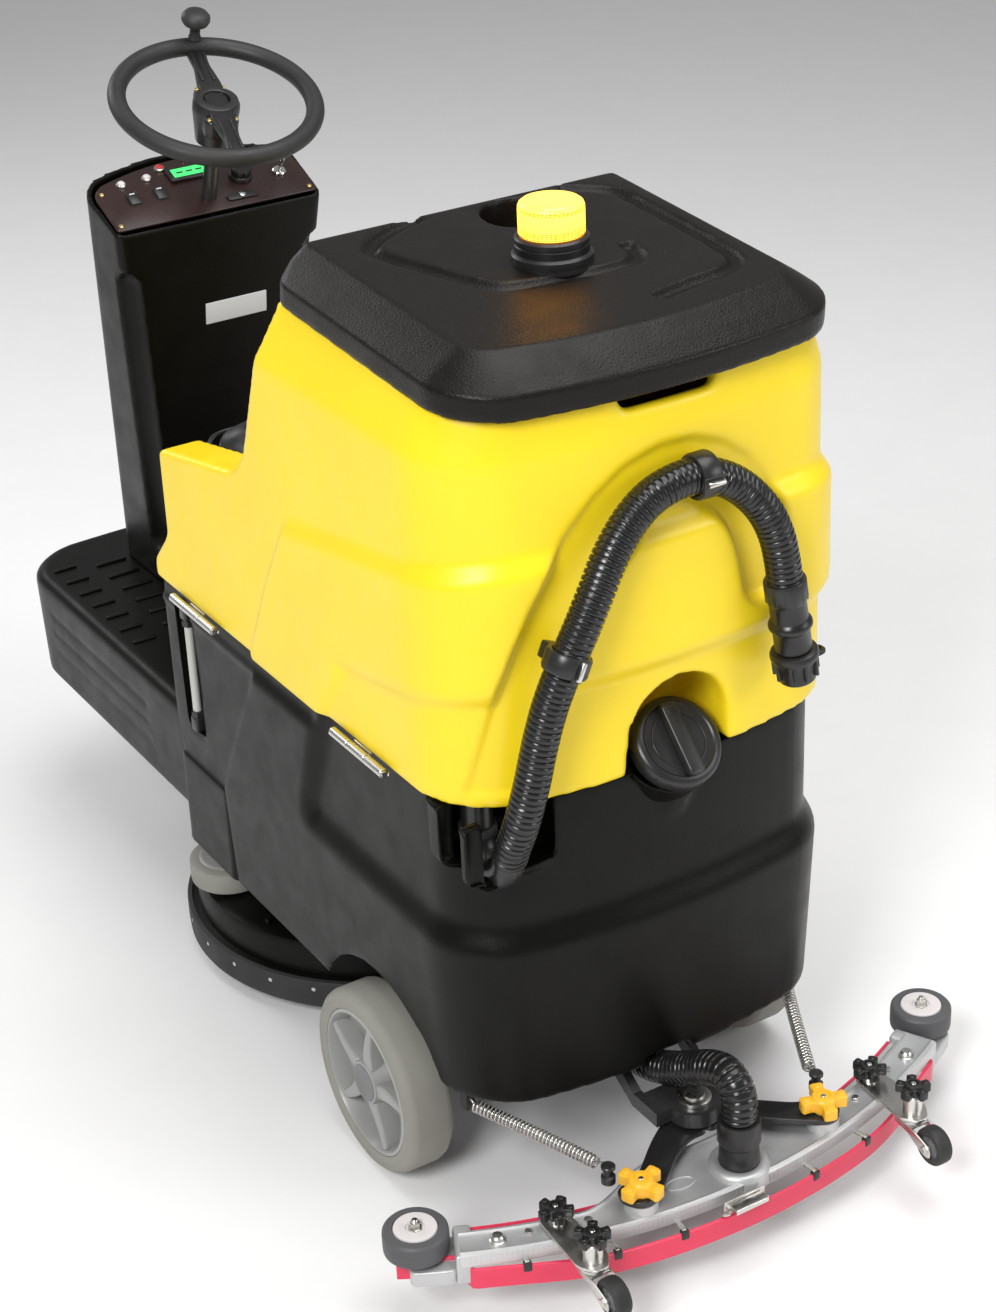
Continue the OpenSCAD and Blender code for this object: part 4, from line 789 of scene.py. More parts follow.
def make_lid():
    place = at(0, LID_FRONT, RIM + 0.5) @ Matrix.Rotation(-LID_TILT, 4, "X")

    def ring(inset, z, front=None, bow=32):
        points = outline(258 - inset, inset if front is None else front, 415 - inset, max(6, 40 - inset),
                         max(6, 70 - inset), bow)
        return [place @ Vector((x * MM, y * MM, z * MM)) for x, y in points]

    def spot(x, y, z):
        p = place @ Vector((x * MM, y * MM, z * MM)) / MM
        return (p.x, p.y - AXLE_Y, p.z)

    lid = loft("lid_shell", [ring(1, 0), ring(0, 6), ring(0, 30, 3), ring(22, 46, 5), ring(46, 62, 9)], LID,
               False)
    rim_room = loft("cutter", [ring(13, -2), ring(13, 8)], BLACK, False)
    hollow = loft("cutter", [ring(34, 5), ring(34, 27), ring(56, 48)], BLACK, False)
    cup_place = place @ shift(-45, 61, 0)
    cut(lid, rim_room, hollow)
    cut(lid, turned("cutter", [(50, 15), (50, 61)], cup_place, BLACK), operation="UNION")
    cut(lid, turned("cutter", [(43, 20), (46, 60), (49, 64)], cup_place, BLACK))
    left = [(62, 14), (110, 30), (152, 58), (158, 84), (126, 170), (100, 226), (74, 244), (0, 254),
            (-66, 256),
            (-92, 238), (-98, 205)]
    right = [(-128, 18), (-176, 60), (-184, 110), (-184, 240), (-178, 306), (-150, 330), (-90, 340),
             (-40, 352)]
    for route in (left, right):
        cut(lid, swept("cutter", [spot(x, y, 65.5) for x, y in route], lambda along: 12.0, BLACK, 9, 12))
    softened(lid, 3.2, 2)
    lugs = []
    for side in (-1, 1):
        x0 = side * 36 - 13
        lugs.append(cylinder_x(8, x0, x0 + 26, LID_FRONT - 9, RIM - 2, 32))
        lugs.append(block("lug", x0, x0 + 26, LID_FRONT - 9, LID_FRONT + 4, RIM + 1, RIM + 15, LID, 1.5))
    lid = joined("lid_shell", lid, *lugs)
    return piece(lid, "lid", "lid_plastic", "tank_lid")


def make_seat():
    """The cushion is blown up as cloth; a piped seam follows."""
    inset = 9
    base = 746.0
    hw, y0, y1 = 212 - inset, -526 + inset, -248 - inset
    levels = []
    for z, pull in ((base, 4), (base + 8, 0), (base + 66, 0), (base + 78, 6), (base + 84, 22)):
        levels.append((z, outline(hw - pull, y0 + pull, y1 - pull, 38, 28, 0)))
    pad = stack("seat_pad", levels, SEAT)
    applied(pad, "REMESH", mode="VOXEL", voxel_size=5 * MM, use_smooth_shade=True)
    start = np.empty(len(pad.data.vertices) * 3)
    pad.data.vertices.foreach_get("co", start)
    start = start.reshape(-1, 3)
    cloth = pad.modifiers.new("Cloth", "CLOTH")
    cloth.settings.use_pressure = True
    cloth.settings.uniform_pressure_force = 4
    cloth.settings.effector_weights.gravity = 0
    cloth.settings.quality = 5
    scene = bpy.context.scene
    for number in range(1, 21):
        scene.frame_set(number)
    active(pad)
    bpy.ops.object.modifier_apply(modifier="Cloth")
    scene.frame_set(1)
    moved = np.empty(len(pad.data.vertices) * 3)
    pad.data.vertices.foreach_get("co", moved)
    step = moved.reshape(-1, 3) - start
    size = np.linalg.norm(step, axis=1)
    step *= np.minimum(1.0, 9 * MM / np.maximum(size, 1e-9))[:, None]
    spots = start + step
    x, y, z = spots[:, 0] / MM, spots[:, 1] / MM - AXLE_Y, spots[:, 2] / MM
    spots[:, 2] = np.maximum(spots[:, 2], base * MM)
    channel = sum(np.exp(-((x - middle_x) / 4.0) ** 2) for middle_x in (-72, 72))
    channel = channel * (z > base + 60) * (np.abs(y + 390) < 100)
    spots[:, 2] -= 3.5 * MM * channel
    pad.data.vertices.foreach_set("co", spots.reshape(-1))
    pad.data.update()
    applied(pad, "SUBSURF", levels=1)
    seam = outline(hw + 4, y0 - 4, y1 + 4, 40, 30, 0, 8, 10)
    piping = swept("piping", [(px, py, base + 70) for px, py in seam] + [(*seam[0], base + 70)],
                   lambda along: 2.6, SEAT, 6, 10)
    pad = joined("seat_pad", pad, piping)
    return piece(pad, "recovery_tank", "seat_vinyl", "seat_cushion")


make_recovery_tank()
make_solution_tank()
make_platform()
make_column()
make_lid()
make_seat()


# ---------------------------------------------------------------- hoses and springs

def make_drain_hose():
    hose = swept("drain_hose_ribbed", DRAIN_ROUTE, corrugated(21, 16.5, 7.4), HOSE, 0.95, 22)
    piece(hose, "recovery_tank", "black_rubber", "drain_hose")
    clips = []
    for spot, along in (((163, 295, 817), -24), ((-24, 285, 985), 90)):
        place = Matrix.Translation(put(*spot)) @ spin(along, "Y")
        band = [(21.4, -12), (25.5, -12), (27, -9), (27, 9), (25.5, 12), (21.4, 12)]
        rings = [[place @ Vector((r * MM * math.cos(a), r * MM * math.sin(a), z * MM)) for r, z in band]
                 for a in [2 * math.pi * k / 40 for k in range(40)]]
        clips.append(shade(loft("clip", rings, BLACK, True, True), 35))
        clips.append(block("clip", -10, 10, -42, -23, -10, 10, BLACK, 2.5, place))
        clips.append(block("clip", -4, 4, 22, 31, -9, 9, BLACK, 1.5, place))
        clips.append(turned("clip", [(0.1, -11), (3, -11), (3.4, -10), (3.4, 10), (3, 11), (0.1, 11)],
                            place @ shift(0, 29, 0), STEEL, 16))
        clips.append(block("clip", -7, 7, 24, 26.5, -14, 14, BLACK, 0.8, place))
    piece(joined("hose_clip_set", *clips), "recovery_tank", "black_plastic", "hose_clips")

    cuff = at(-130, 299, 832) @ spin(9, "Y")
    body = turned("drain_cuff_body", [(17, 2), (24, 2), (25, 0), (25, -22), (23, -25), (22, -28), (22, -50),
                                      (24.5, -53), (26, -56), (26, -60), (24, -63), (22, -66), (22, -90),
                                      (20, -92), (12, -92)], cuff, BLACK, 40)
    ribs = [block("rib", 21, 25.2, -1.2, 1.2, -24, -1, BLACK, 0.5,
                  cuff @ share_of_turn(k, 14)) for k in range(14)]
    piece(joined("drain_cuff_body", body, *ribs), "recovery_tank", "black_plastic", "drain_cuff")

    end = cuff @ shift(0, 0, -92.4)
    cap = turned("drain_cap_body", [(1, -0.4), (24, -0.4), (27.5, -2), (29, -6), (28.6, -10), (25, -16),
                                    (23, -30),
                                    (22, -40), (20, -42), (1, -42)], end, BLACK, 40)
    grips = [block("grip", 22, 27.8, -2, 2, -34, -4, BLACK, 1,
                   end @ share_of_turn(k, 9)) for k in range(9)]
    tab = prism("tab", rounded_corners([(-41, -9), (-22, -9), (-22, 9), (-41, 9)], 8), -22, -17, BLACK, 1.2,
                end)
    hole = turned("cutter", [(4, -30), (4, -10)], end @ shift(-33, 0, 0), BLACK, 20)
    cut(tab, hole)
    piece(joined("drain_cap_body", cap, *grips, tab), "drain_cap", "black_plastic", "drain_cap")

    elbow_route = [[222, 186, 619], [222, 186, 590], [222, 187, 566], [222, 194, 548], [222, 207, 536],
                   [222, 220, 532], [222, 234, 536], [222, 247, 548], [222, 253, 560], [222, 254, 566]]
    elbow = swept("drain_elbow_pipe", elbow_route, lambda along: 19, BLACK, 5, 24)
    nut = turned("nut", [(19, 0), (23, 0), (24, 2), (24, 12), (23, 14), (19, 14)],
                 at(222, 186, 566), BLACK, 8)
    piece(joined("drain_elbow_pipe", elbow, nut), "recovery_tank", "black_plastic", "drain_elbow")


def make_vacuum_hose():
    hose = swept("vacuum_hose_ribbed", VAC_ROUTE, corrugated(22, 17.5, 8.2), HOSE, 1.05, 22)
    piece(hose, "squeegee_lift", "black_rubber", "vacuum_hose")
    place = at(PORT_X, PORT_Y, 0)
    cuff = turned("vacuum_cuff_body", [(19, 117.5), (25, 117.5), (25.5, 119), (24.5, 140), (24, 145),
                                       (26, 148),
                                       (27, 150), (27, 176), (25.5, 180), (21, 180), (19, 178)], place, BLACK,
                                       40)
    piece(cuff, "squeegee", "black_plastic", "vacuum_cuff")


def make_springs():
    pieces = []
    for side in (-1, 1):
        route = [[side * 238, 173, 172], [side * 212, 222, 164], [side * 184, 277, 156], [side * 161, 324,
                                                                                          149]]
        pieces.append(coil("spring", route, 7.2, 1.7, 5.2, STEEL))
        for ends in ([[side * 240, 158, 173], [side * 240, 166, 178], [side * CASTER_X, 172, 175],
                      [side * 237, 176, 172]],
                     [[side * 162, 322, 149], [side * 159, 327, 150], [side * 157, 334, 154],
                      [side * 157, 341, 152],
                      [side * 158, 344, 147]]):
            pieces.append(swept("hook", ends, lambda along: 1.3, STEEL, 1.5, 8))
    piece(joined("spring_pair", *pieces), "squeegee_lift", "bright_steel", "springs")


# ---------------------------------------------------------------- steering and controls

def ring_tube(name, r_major, profile_r, place, material, steps=120, sides=20, ripple=0.0, lobes=0):
    rings = []
    for i in range(steps):
        a = 2 * math.pi * i / steps
        r = profile_r * (1 + ripple * math.cos(lobes * a))
        rings.append([place @ Vector(((r_major + r * math.cos(b)) * MM * math.cos(a),
                                      (r_major + r * math.cos(b)) * MM * math.sin(a), r * MM * math.sin(b)))
                      for b in [2 * math.pi * k / sides for k in range(sides)]])
    return loft(name, rings, material, True, True)


def make_steering():
    spokes = STEER @ spin(-13)
    rim = ring_tube("rim", 137, 12.9, STEER, GRIP, 144, 22)
    arm = prism("arm", rounded_corners([(-17, -44), (-11, -90), (-14, -134), (14, -134), (11, -90), (17, -44),
                                        (17, 44), (11, 90), (14, 134), (-14, 134), (-11, 90), (-17, 44)], 8),
                -9, 2, BLACK, 3, spokes)
    ridge = [block("ridge", x - 2, x + 2, y0, y1, 1, 4, BLACK, 1, spokes)
             for x in (-8, 8) for y0, y1 in ((-118, -48), (48, 118))]
    boss = prism("boss", rounded_corners([(-24, -46), (24, -46), (24, 46), (-24, 46)], 14), -34, -6, BLACK, 4,
                 spokes)
    hub = turned("hub", [(22, -62), (26, -62), (33, -14), (33, -4), (30, 3), (22, 5), (19, 4), (18, 0),
                         (18, -10),
                         (1, -10)], STEER, BLACK, 48)
    nut = turned("nut", [(1, -10), (9, -10), (9.5, -9), (9.5, -4), (8.5, -3), (5, -3), (5, -2), (1, -2)],
                 STEER, STEEL, 6, 20)
    screws = [turned("screw", [(1, -6), (3.5, -6), (3.5, -3.5), (2.8, -3), (1, -3)],
                     spokes @ shift(x, y, 0), BRASS, 16)
              for x, y in ((-18, -38), (18, -38), (-18, 38), (18, 38))]
    piece(joined("steering_wheel_rim", rim, arm, *ridge, boss, hub, nut, *screws), "steering", "grip_black",
          "steering_wheel")
    knob = spokes @ shift(0, -137, 13.4)
    ball = turned("spinner_grip", [(1, 0), (9, 0), (9, 3), (7.5, 6), (7.5, 17), (11, 20), (18, 25),
                                   (20.5, 30),
                                   (20, 36), (16, 41), (9, 43), (1, 43)], knob, GRIP, 40, 50)
    piece(ball, "spinner_knob", "grip_black", "spinner_knob")
    repaint("steering_shaft", FRAME_BLACK)


def make_console():
    half = HEAD_W / 2 - 9
    edge = outline(half, 7, 100, 6, 24, 0)
    shape = [(x, y + (32 * (1 - (x / half) ** 2) if y > 53 else 0)) for x, y in edge]
    plate = prism("console_overlay_plate", shape, -3, 0, MAROON, 0.8, HEAD)
    cut(plate, turned("cutter", [(15, -60), (15, 30)], STEER @ shift(0, 0, -200), BLACK))
    shade(plate, 30)
    screws = []
    for x, y in ((-half + 9, 16), (half - 9, 16), (-half + 12, 88), (half - 12, 88), (0, 124)):
        screws.append(turned("screw", [(1, 0), (3.6, 0), (3.4, 1.6), (2.2, 2.2), (1.2, 1.4), (1, 1.4)],
                             HEAD @ shift(x, y, 0), BRASS, 16))
    plate = joined("console_overlay_plate", plate, *screws)
    piece(plate, "machine", "panel_maroon", "console_plate")

    parts = [block("bezel", -27, 39, 81, 111, 0, 5, BLACK, 2, HEAD),
             block("glass", -20, 32, 87, 105, 4.4, 5.6, GREEN, 0.4, HEAD)]
    for k in range(3):
        parts.append(block("segment", -14 + k * 15, -4 + k * 15, 94, 97, 5.5, 5.9, BLACK, 0, HEAD))
    for x, y in ((110, 100), (69, 103), (42, 118)):
        spot = HEAD @ shift(x, y, 0)
        parts.append(turned("lamp", [(1, 0), (7, 0), (7.4, 1.5), (6.6, 3), (5.6, 3.4), (5.4, 3.0)] , spot,
                            CHROME, 28))
        parts.append(turned("lens", [(5.3, 2.6), (5.2, 4), (4.2, 5.4), (2, 6), (0.2, 6)], spot,
                            RED_MARK if x == 42 else WHITE_HUB, 24, 60))
    parts.append(prism("horn_bar", rounded_corners([(-69, 19), (-21, 19), (-21, 33), (-69, 33)], 6), 0, 3,
                       BLACK, 1, HEAD))
    parts.append(turned("horn", [(1, 2.5), (5, 2.5), (5, 4.4), (4, 5), (0.5, 5)],
                        HEAD @ shift(-45, 26, 0), CHROME, 24))
    piece(joined("display_cluster", *parts), "machine", "black_plastic", "display")

    for name, x in (("left", 107), ("right", 65)):
        spot = HEAD @ shift(x, 65, 0)
        frame_part = block("bezel", -9.5, 9.5, -13.5, 13.5, -8, 0.6, BLACK, 0.8, spot)
        tilt = spot @ spin(7, "X")
        paddle = prism("paddle", [(-8.6, -12.6), (8.6, -12.6), (8.6, 12.6), (-8.6, 12.6)], -2, 5, BLACK, 1.8,
                       tilt)
        mark = block("mark", -4, 4, 6, 8, 4.8, 5.2, WHITE_HUB, 0, tilt)
        piece(joined("rocker_" + name + "_paddle", frame_part, paddle, mark), "rocker_" + name,
              "black_plastic",
              "rocker_" + name)

    spot = HEAD @ shift(-62, 66, 0)
    skirt = turned("dial", [(1, -8), (6, -8), (6, 0.4), (17, 0.4), (17, 3), (15.5, 6.5), (14, 7.4),
                            (13.6, 15.5),
                            (12.6, 17), (1, 17)], spot, BLACK, 40)
    flutes = [block("flute", 12.5, 14.8, -0.9, 0.9, 7.2, 15.5, BLACK, 0.4,
                    spot @ share_of_turn(k, 16)) for k in range(16)]
    pointer = block("pointer", -1, 1, 3, 13.5, 16.6, 17.8, WHITE_HUB, 0.3, spot)
    piece(joined("speed_dial", skirt, *flutes, pointer), "speed_selector", "black_plastic", "speed_selector")

    spot = HEAD @ shift(-122, 60, 0)
    barrel = turned("barrel", [(1, -8), (5, -8), (5, 0.4), (10, 0.4), (10, 2.6), (8.4, 4.4), (1, 4.4)], spot,
                    CHROME, 32)
    blade = block("blade", -1.1, 1.1, -3, 3, 4, 17.5, STEEL, 0.4, spot)
    bow = prism("bow", rounded_corners([(-9, 17), (9, 17), (9, 33), (-9, 33)], 6), -1.2, 1.2, STEEL, 0.5,
                spot @ Matrix(((0, 0, 1, 0), (1, 0, 0, 0), (0, 1, 0, 0), (0, 0, 0, 1))))
    cut(bow, turned("cutter", [(3, -5), (3, 5)],
                    spot @ shift(0, 0, 26) @ spin(90, "Y"), STEEL, 20))
    piece(joined("key_and_barrel", barrel, blade, bow), "key", "bright_steel", "key")

    pedal = at(-175, NOSE + 300, PLATFORM_Z + 14)
    slope = pedal @ spin(-24, "X")
    tread = prism("tread", rounded_corners([(-33, -125), (33, -125), (33, 0), (-33, 0)], 9), 2, 9, RUBBER, 2,
                  slope)
    bars = [block("bar", -27, 27, -118 + 13 * k, -113 + 13 * k, 8.4, 10.4, RUBBER, 0.8,
                  slope) for k in range(9)]
    heel = turned("heel", [(4.5, -33), (8.4, -33), (9, -32), (9, 32), (8.4, 33), (4.5, 33)],
                  pedal @ spin(90, "Y"), BLACK, 32)
    piece(joined("pedal_tread", tread, *bars, heel), "accelerator_pedal", "black_rubber", "accelerator_pedal")


def make_beacon():
    base_z = round(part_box("beacon_lens")[0].z / MM) - 30
    place = at(0, 35, base_z)
    base = turned("beacon_foot", [(1, -1.5), (46.5, -1.5), (47, 1), (47, 8), (45, 10), (43, 11), (43, 19),
                                  (42, 20),
                                  (43, 21), (43, 27), (41, 29), (38.5, 30), (1, 30)], place, BLACK, 72)
    sink = turned("beacon_sink", [(1, -4), (46, -4), (46.5, 0), (46, 2), (1, 2)], place, BLACK, 48)
    tilt = place @ Matrix.Rotation(-LID_TILT, 4, "X") @ place.inverted()
    sink.data.transform(tilt)
    piece(joined("beacon_foot", base, sink), "lid", "black_plastic", "beacon_base")
    rings = []
    profile = [(30.3, 36.5), (32, 37.6), (62, 37.6), (66, 36.4), (68.6, 33), (69, 28), (69, 0.2)]
    for z, r in profile:
        ring = []
        for k in range(192):
            a = 2 * math.pi * k / 192
            wave = 0.5 * math.cos(48 * a) if 31 < z < 64 else 0
            ring.append(place @ Vector(((r + wave) * MM * math.cos(a), (r + wave) * MM * math.sin(a),
                                        z * MM)))
        rings.append(ring)
    lens = shade(loft("beacon_dome", rings, AMBER, True), 50)
    bands = [ring_tube("band", 37.3, 0.75, place @ shift(0, 0, z), AMBER_EDGE, 96, 8)
             for z in (32, 34.4, 36.8, 39.2, 60, 62)]
    piece(joined("beacon_dome", lens, *bands), "lid", "amber_lens", "beacon_lens")


# ---------------------------------------------------------------- wheels

def x_frame(x, y, z, side=1):
    """A frame whose Z points to the machine's outside on that side."""
    return at(x, y, z) @ spin(90 * side, "Y")


def make_rear_wheel(name, side):
    inner = 236
    place = x_frame(side * inner, 0, WHEEL_Z, side)
    width = round((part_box("rear_wheel_left")[1].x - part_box("rear_wheel_left")[0].x) / MM) - 6
    tyre = turned("tyre", [(100, 4), (104, 1.5), (112, 0.6), (118, 3), (123, 8), (125, 14), (125, width - 14),
                           (123, width - 8), (118, width - 3), (112, width - 0.6), (104, width - 1.5),
                           (100, width - 4)], place, TYRE, 120)
    groove = [ring_tube("groove", 111.5, 1.1, place @ shift(0, 0, z), TYRE, 96, 8)
              for z in (width - 1.2, 1.2)]
    hub = turned("hub", [(8, 8), (96, 8), (100, 4), (101, 10), (101, width - 8), (99, width - 4),
                         (95, width - 3),
                         (93, width - 7), (88, width - 26), (60, width - 32), (36, width - 28),
                         (29, width - 8),
                         (28, width - 4), (26, width - 3.4), (8, width - 3.4)], place, HUB, 96)
    spokes = []
    for k in range(5):
        turn = place @ share_of_turn(k + 0.3, 5)
        line = [(27 + 11 * t, 3.2 * t - 0.42 * t * t) for t in range(7)]
        left = [(r, y + 11 - 1.0 * i) for i, (r, y) in enumerate(line)]
        right = [(r, y - 11 + 1.0 * i) for i, (r, y) in enumerate(line)]
        ridge = prism("spoke", left + right[::-1], width - 33, width - 5, HUB, 0, turn)
        spokes.append(rounded(ridge, 3.5, 3, 60))
    cap = turned("cap", [(1, width - 6), (25, width - 6), (25.4, width - 2.5), (23, width - 0.8),
                         (17, width - 0.2),
                         (14, width - 1.2), (1, width - 1.2)], place, HUB_CAP, 40)
    piece(joined(name + "_assembly", tyre, *groove, hub, *spokes, cap), name, "grey_tyre", name)


def make_small_wheels():
    for name, side in (("left", 1), ("right", -1)):
        place = at(side * GUIDE_X, GUIDE_Y, 92)
        tyre = turned("tyre", [(26, 1), (38, 1), (39.6, 3), (40, 7), (40, 25), (39.6, 29), (37, 32), (28, 33),
                               (27, 31)], place, SMALL_TYRE, 72)
        disc = turned("disc", [(6.4, 1), (27, 1), (27.5, 30), (26, 33.4), (22, 34), (12, 33), (11, 31),
                               (6.4, 31)],
                      place, WHITE_HUB, 48)
        bolt = turned("bolt", [(1, 31), (9, 31), (9, 33), (7, 33.4), (6.4, 40), (5, 41), (1, 41)], place,
                      STEEL, 6, 20)
        stud = turned("stud", [(1, 39), (4, 39), (4, 44), (3, 45), (1, 45)], place, STEEL, 20)
        piece(joined("guide_roller_" + name, tyre, disc, bolt, stud), "guide_wheel_" + name, "grey_tyre",
              "guide_wheel_" + name)

        stem = at(side * CASTER_X, CASTER_Y, 0)
        race = turned("race", [(1, 111.4), (12, 111.4), (16.4, 109.5), (17.2, 107), (15, 104.6), (16, 102.4),
                               (13, 100.6),
                               (1, 100.6)], stem, STEEL, 40)
        stud = turned("stud", [(1, 105), (5.8, 105), (5.8, 142.4), (5, 143), (1, 143)], stem, STEEL, 24)
        cheeks = []
        for flank in (-1, 1):
            points = rounded_corners([(-15, 105), (17, 105), (52, 96), (52, 82), (44, 80), (34, 83), (8, 96),
                                      (-15, 99)], 6)
            rings = [[stem @ Vector((x * MM, y * MM, z * MM)) for y, z in points]
                     for x in (flank * 14 - 1.4, flank * 14 + 1.4)]
            cheeks.append(rounded(loft("cheek", rings, STEEL, False), 0.7, 2))
        bridge = block("bridge", -15, 15, -14, 15, 101, 104.6, STEEL, 1, stem)
        nuts = [turned("nut", [(1, 0), (5.4, 0), (5.4, 3), (4.4, 3.8), (1, 3.8)],
                       x_frame(side * CASTER_X + flank * 15.3, 475, 91, flank), STEEL, 6,
                       20) for flank in (-1, 1)]
        piece(joined("caster_fork_" + name, race, stud, *cheeks, bridge, *nuts), "caster_" + name,
              "bright_steel",
              "caster_" + name)

        place = x_frame(side * CASTER_X - side * 10, 475, 91, side)
        tread = turned("tread", [(15, 0.6), (22.5, 0), (24.4, 2), (25, 6), (25, 14), (24.4, 18), (22.5, 20),
                                 (15, 19.4)], place, RUBBER, 56)
        centre = turned("centre", [(4.4, 1), (9, 1), (10, 4), (14, 4), (15.4, 1.4), (15.6, 18.6), (14, 16),
                                   (10, 16),
                                   (9, 19), (4.4, 19)], place, HUB_CAP, 40)
        spokes = [block("spoke", 8, 15, -1.2, 1.2, 3, 17.4, HUB_CAP, 0.5,
                        place @ share_of_turn(k, 6)) for k in range(6)]
        axle = turned("axle", [(1, -3.4), (4, -3.4), (4, 23.4), (1, 23.4)], place, STEEL, 20)
        piece(joined("caster_tread_" + name, tread, centre, *spokes, axle), "caster_wheel_" + name,
              "black_tyre",
              "caster_wheel_" + name)

    r = (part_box("drive_wheel")[1].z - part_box("drive_wheel")[0].z) / MM / 2
    wide = 2 * abs(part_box("drive_wheel")[0].x) / MM
    core = wide - 36 if wide > 60 else wide
    place = x_frame(-core / 2, FORK_Y, r, 1)
    tyre = turned("tyre", [(60, 2), (r - 9, 1), (r - 2, 6), (r, 12), (r, core - 12), (r - 2, core - 6),
                           (r - 9, core - 1),
                           (60, core - 2)], place, RUBBER, 96)
    hub = turned("hub", [(1, -18), (11.8, -18), (11.8, 4), (40, 8), (56, 3), (61, 3), (61, core - 3),
                         (56, core - 3),
                         (40, core - 8), (11.8, core - 4), (11.8, core + 18), (1, core + 18)], place, HUB_CAP,
                         48)
    piece(joined("drive_wheel_assembly", tyre, hub), "drive_wheel", "black_tyre", "drive_wheel")


# ---------------------------------------------------------------- squeegee

# Centre, outer radius and inner radius of the casting's arc
ARC_Y = -388.0
ARC_R = 808.0
CAST_IN = 742.0


def arc_place(angle):
    return at(0, ARC_Y, 0) @ spin(-angle)


def arc_strip(name, half, section_at, material, steps=120, angle=35):
    """A strip along the squeegee's arc: section_at(angle) gives [radius, z] points."""
    rings = []
    for i in range(steps + 1):
        a = -half + 2 * half * i / steps
        place = arc_place(a)
        rings.append([place @ Vector((0, r * MM, z * MM)) for r, z in section_at(a)])
    return shade(loft(name, rings, material), angle)


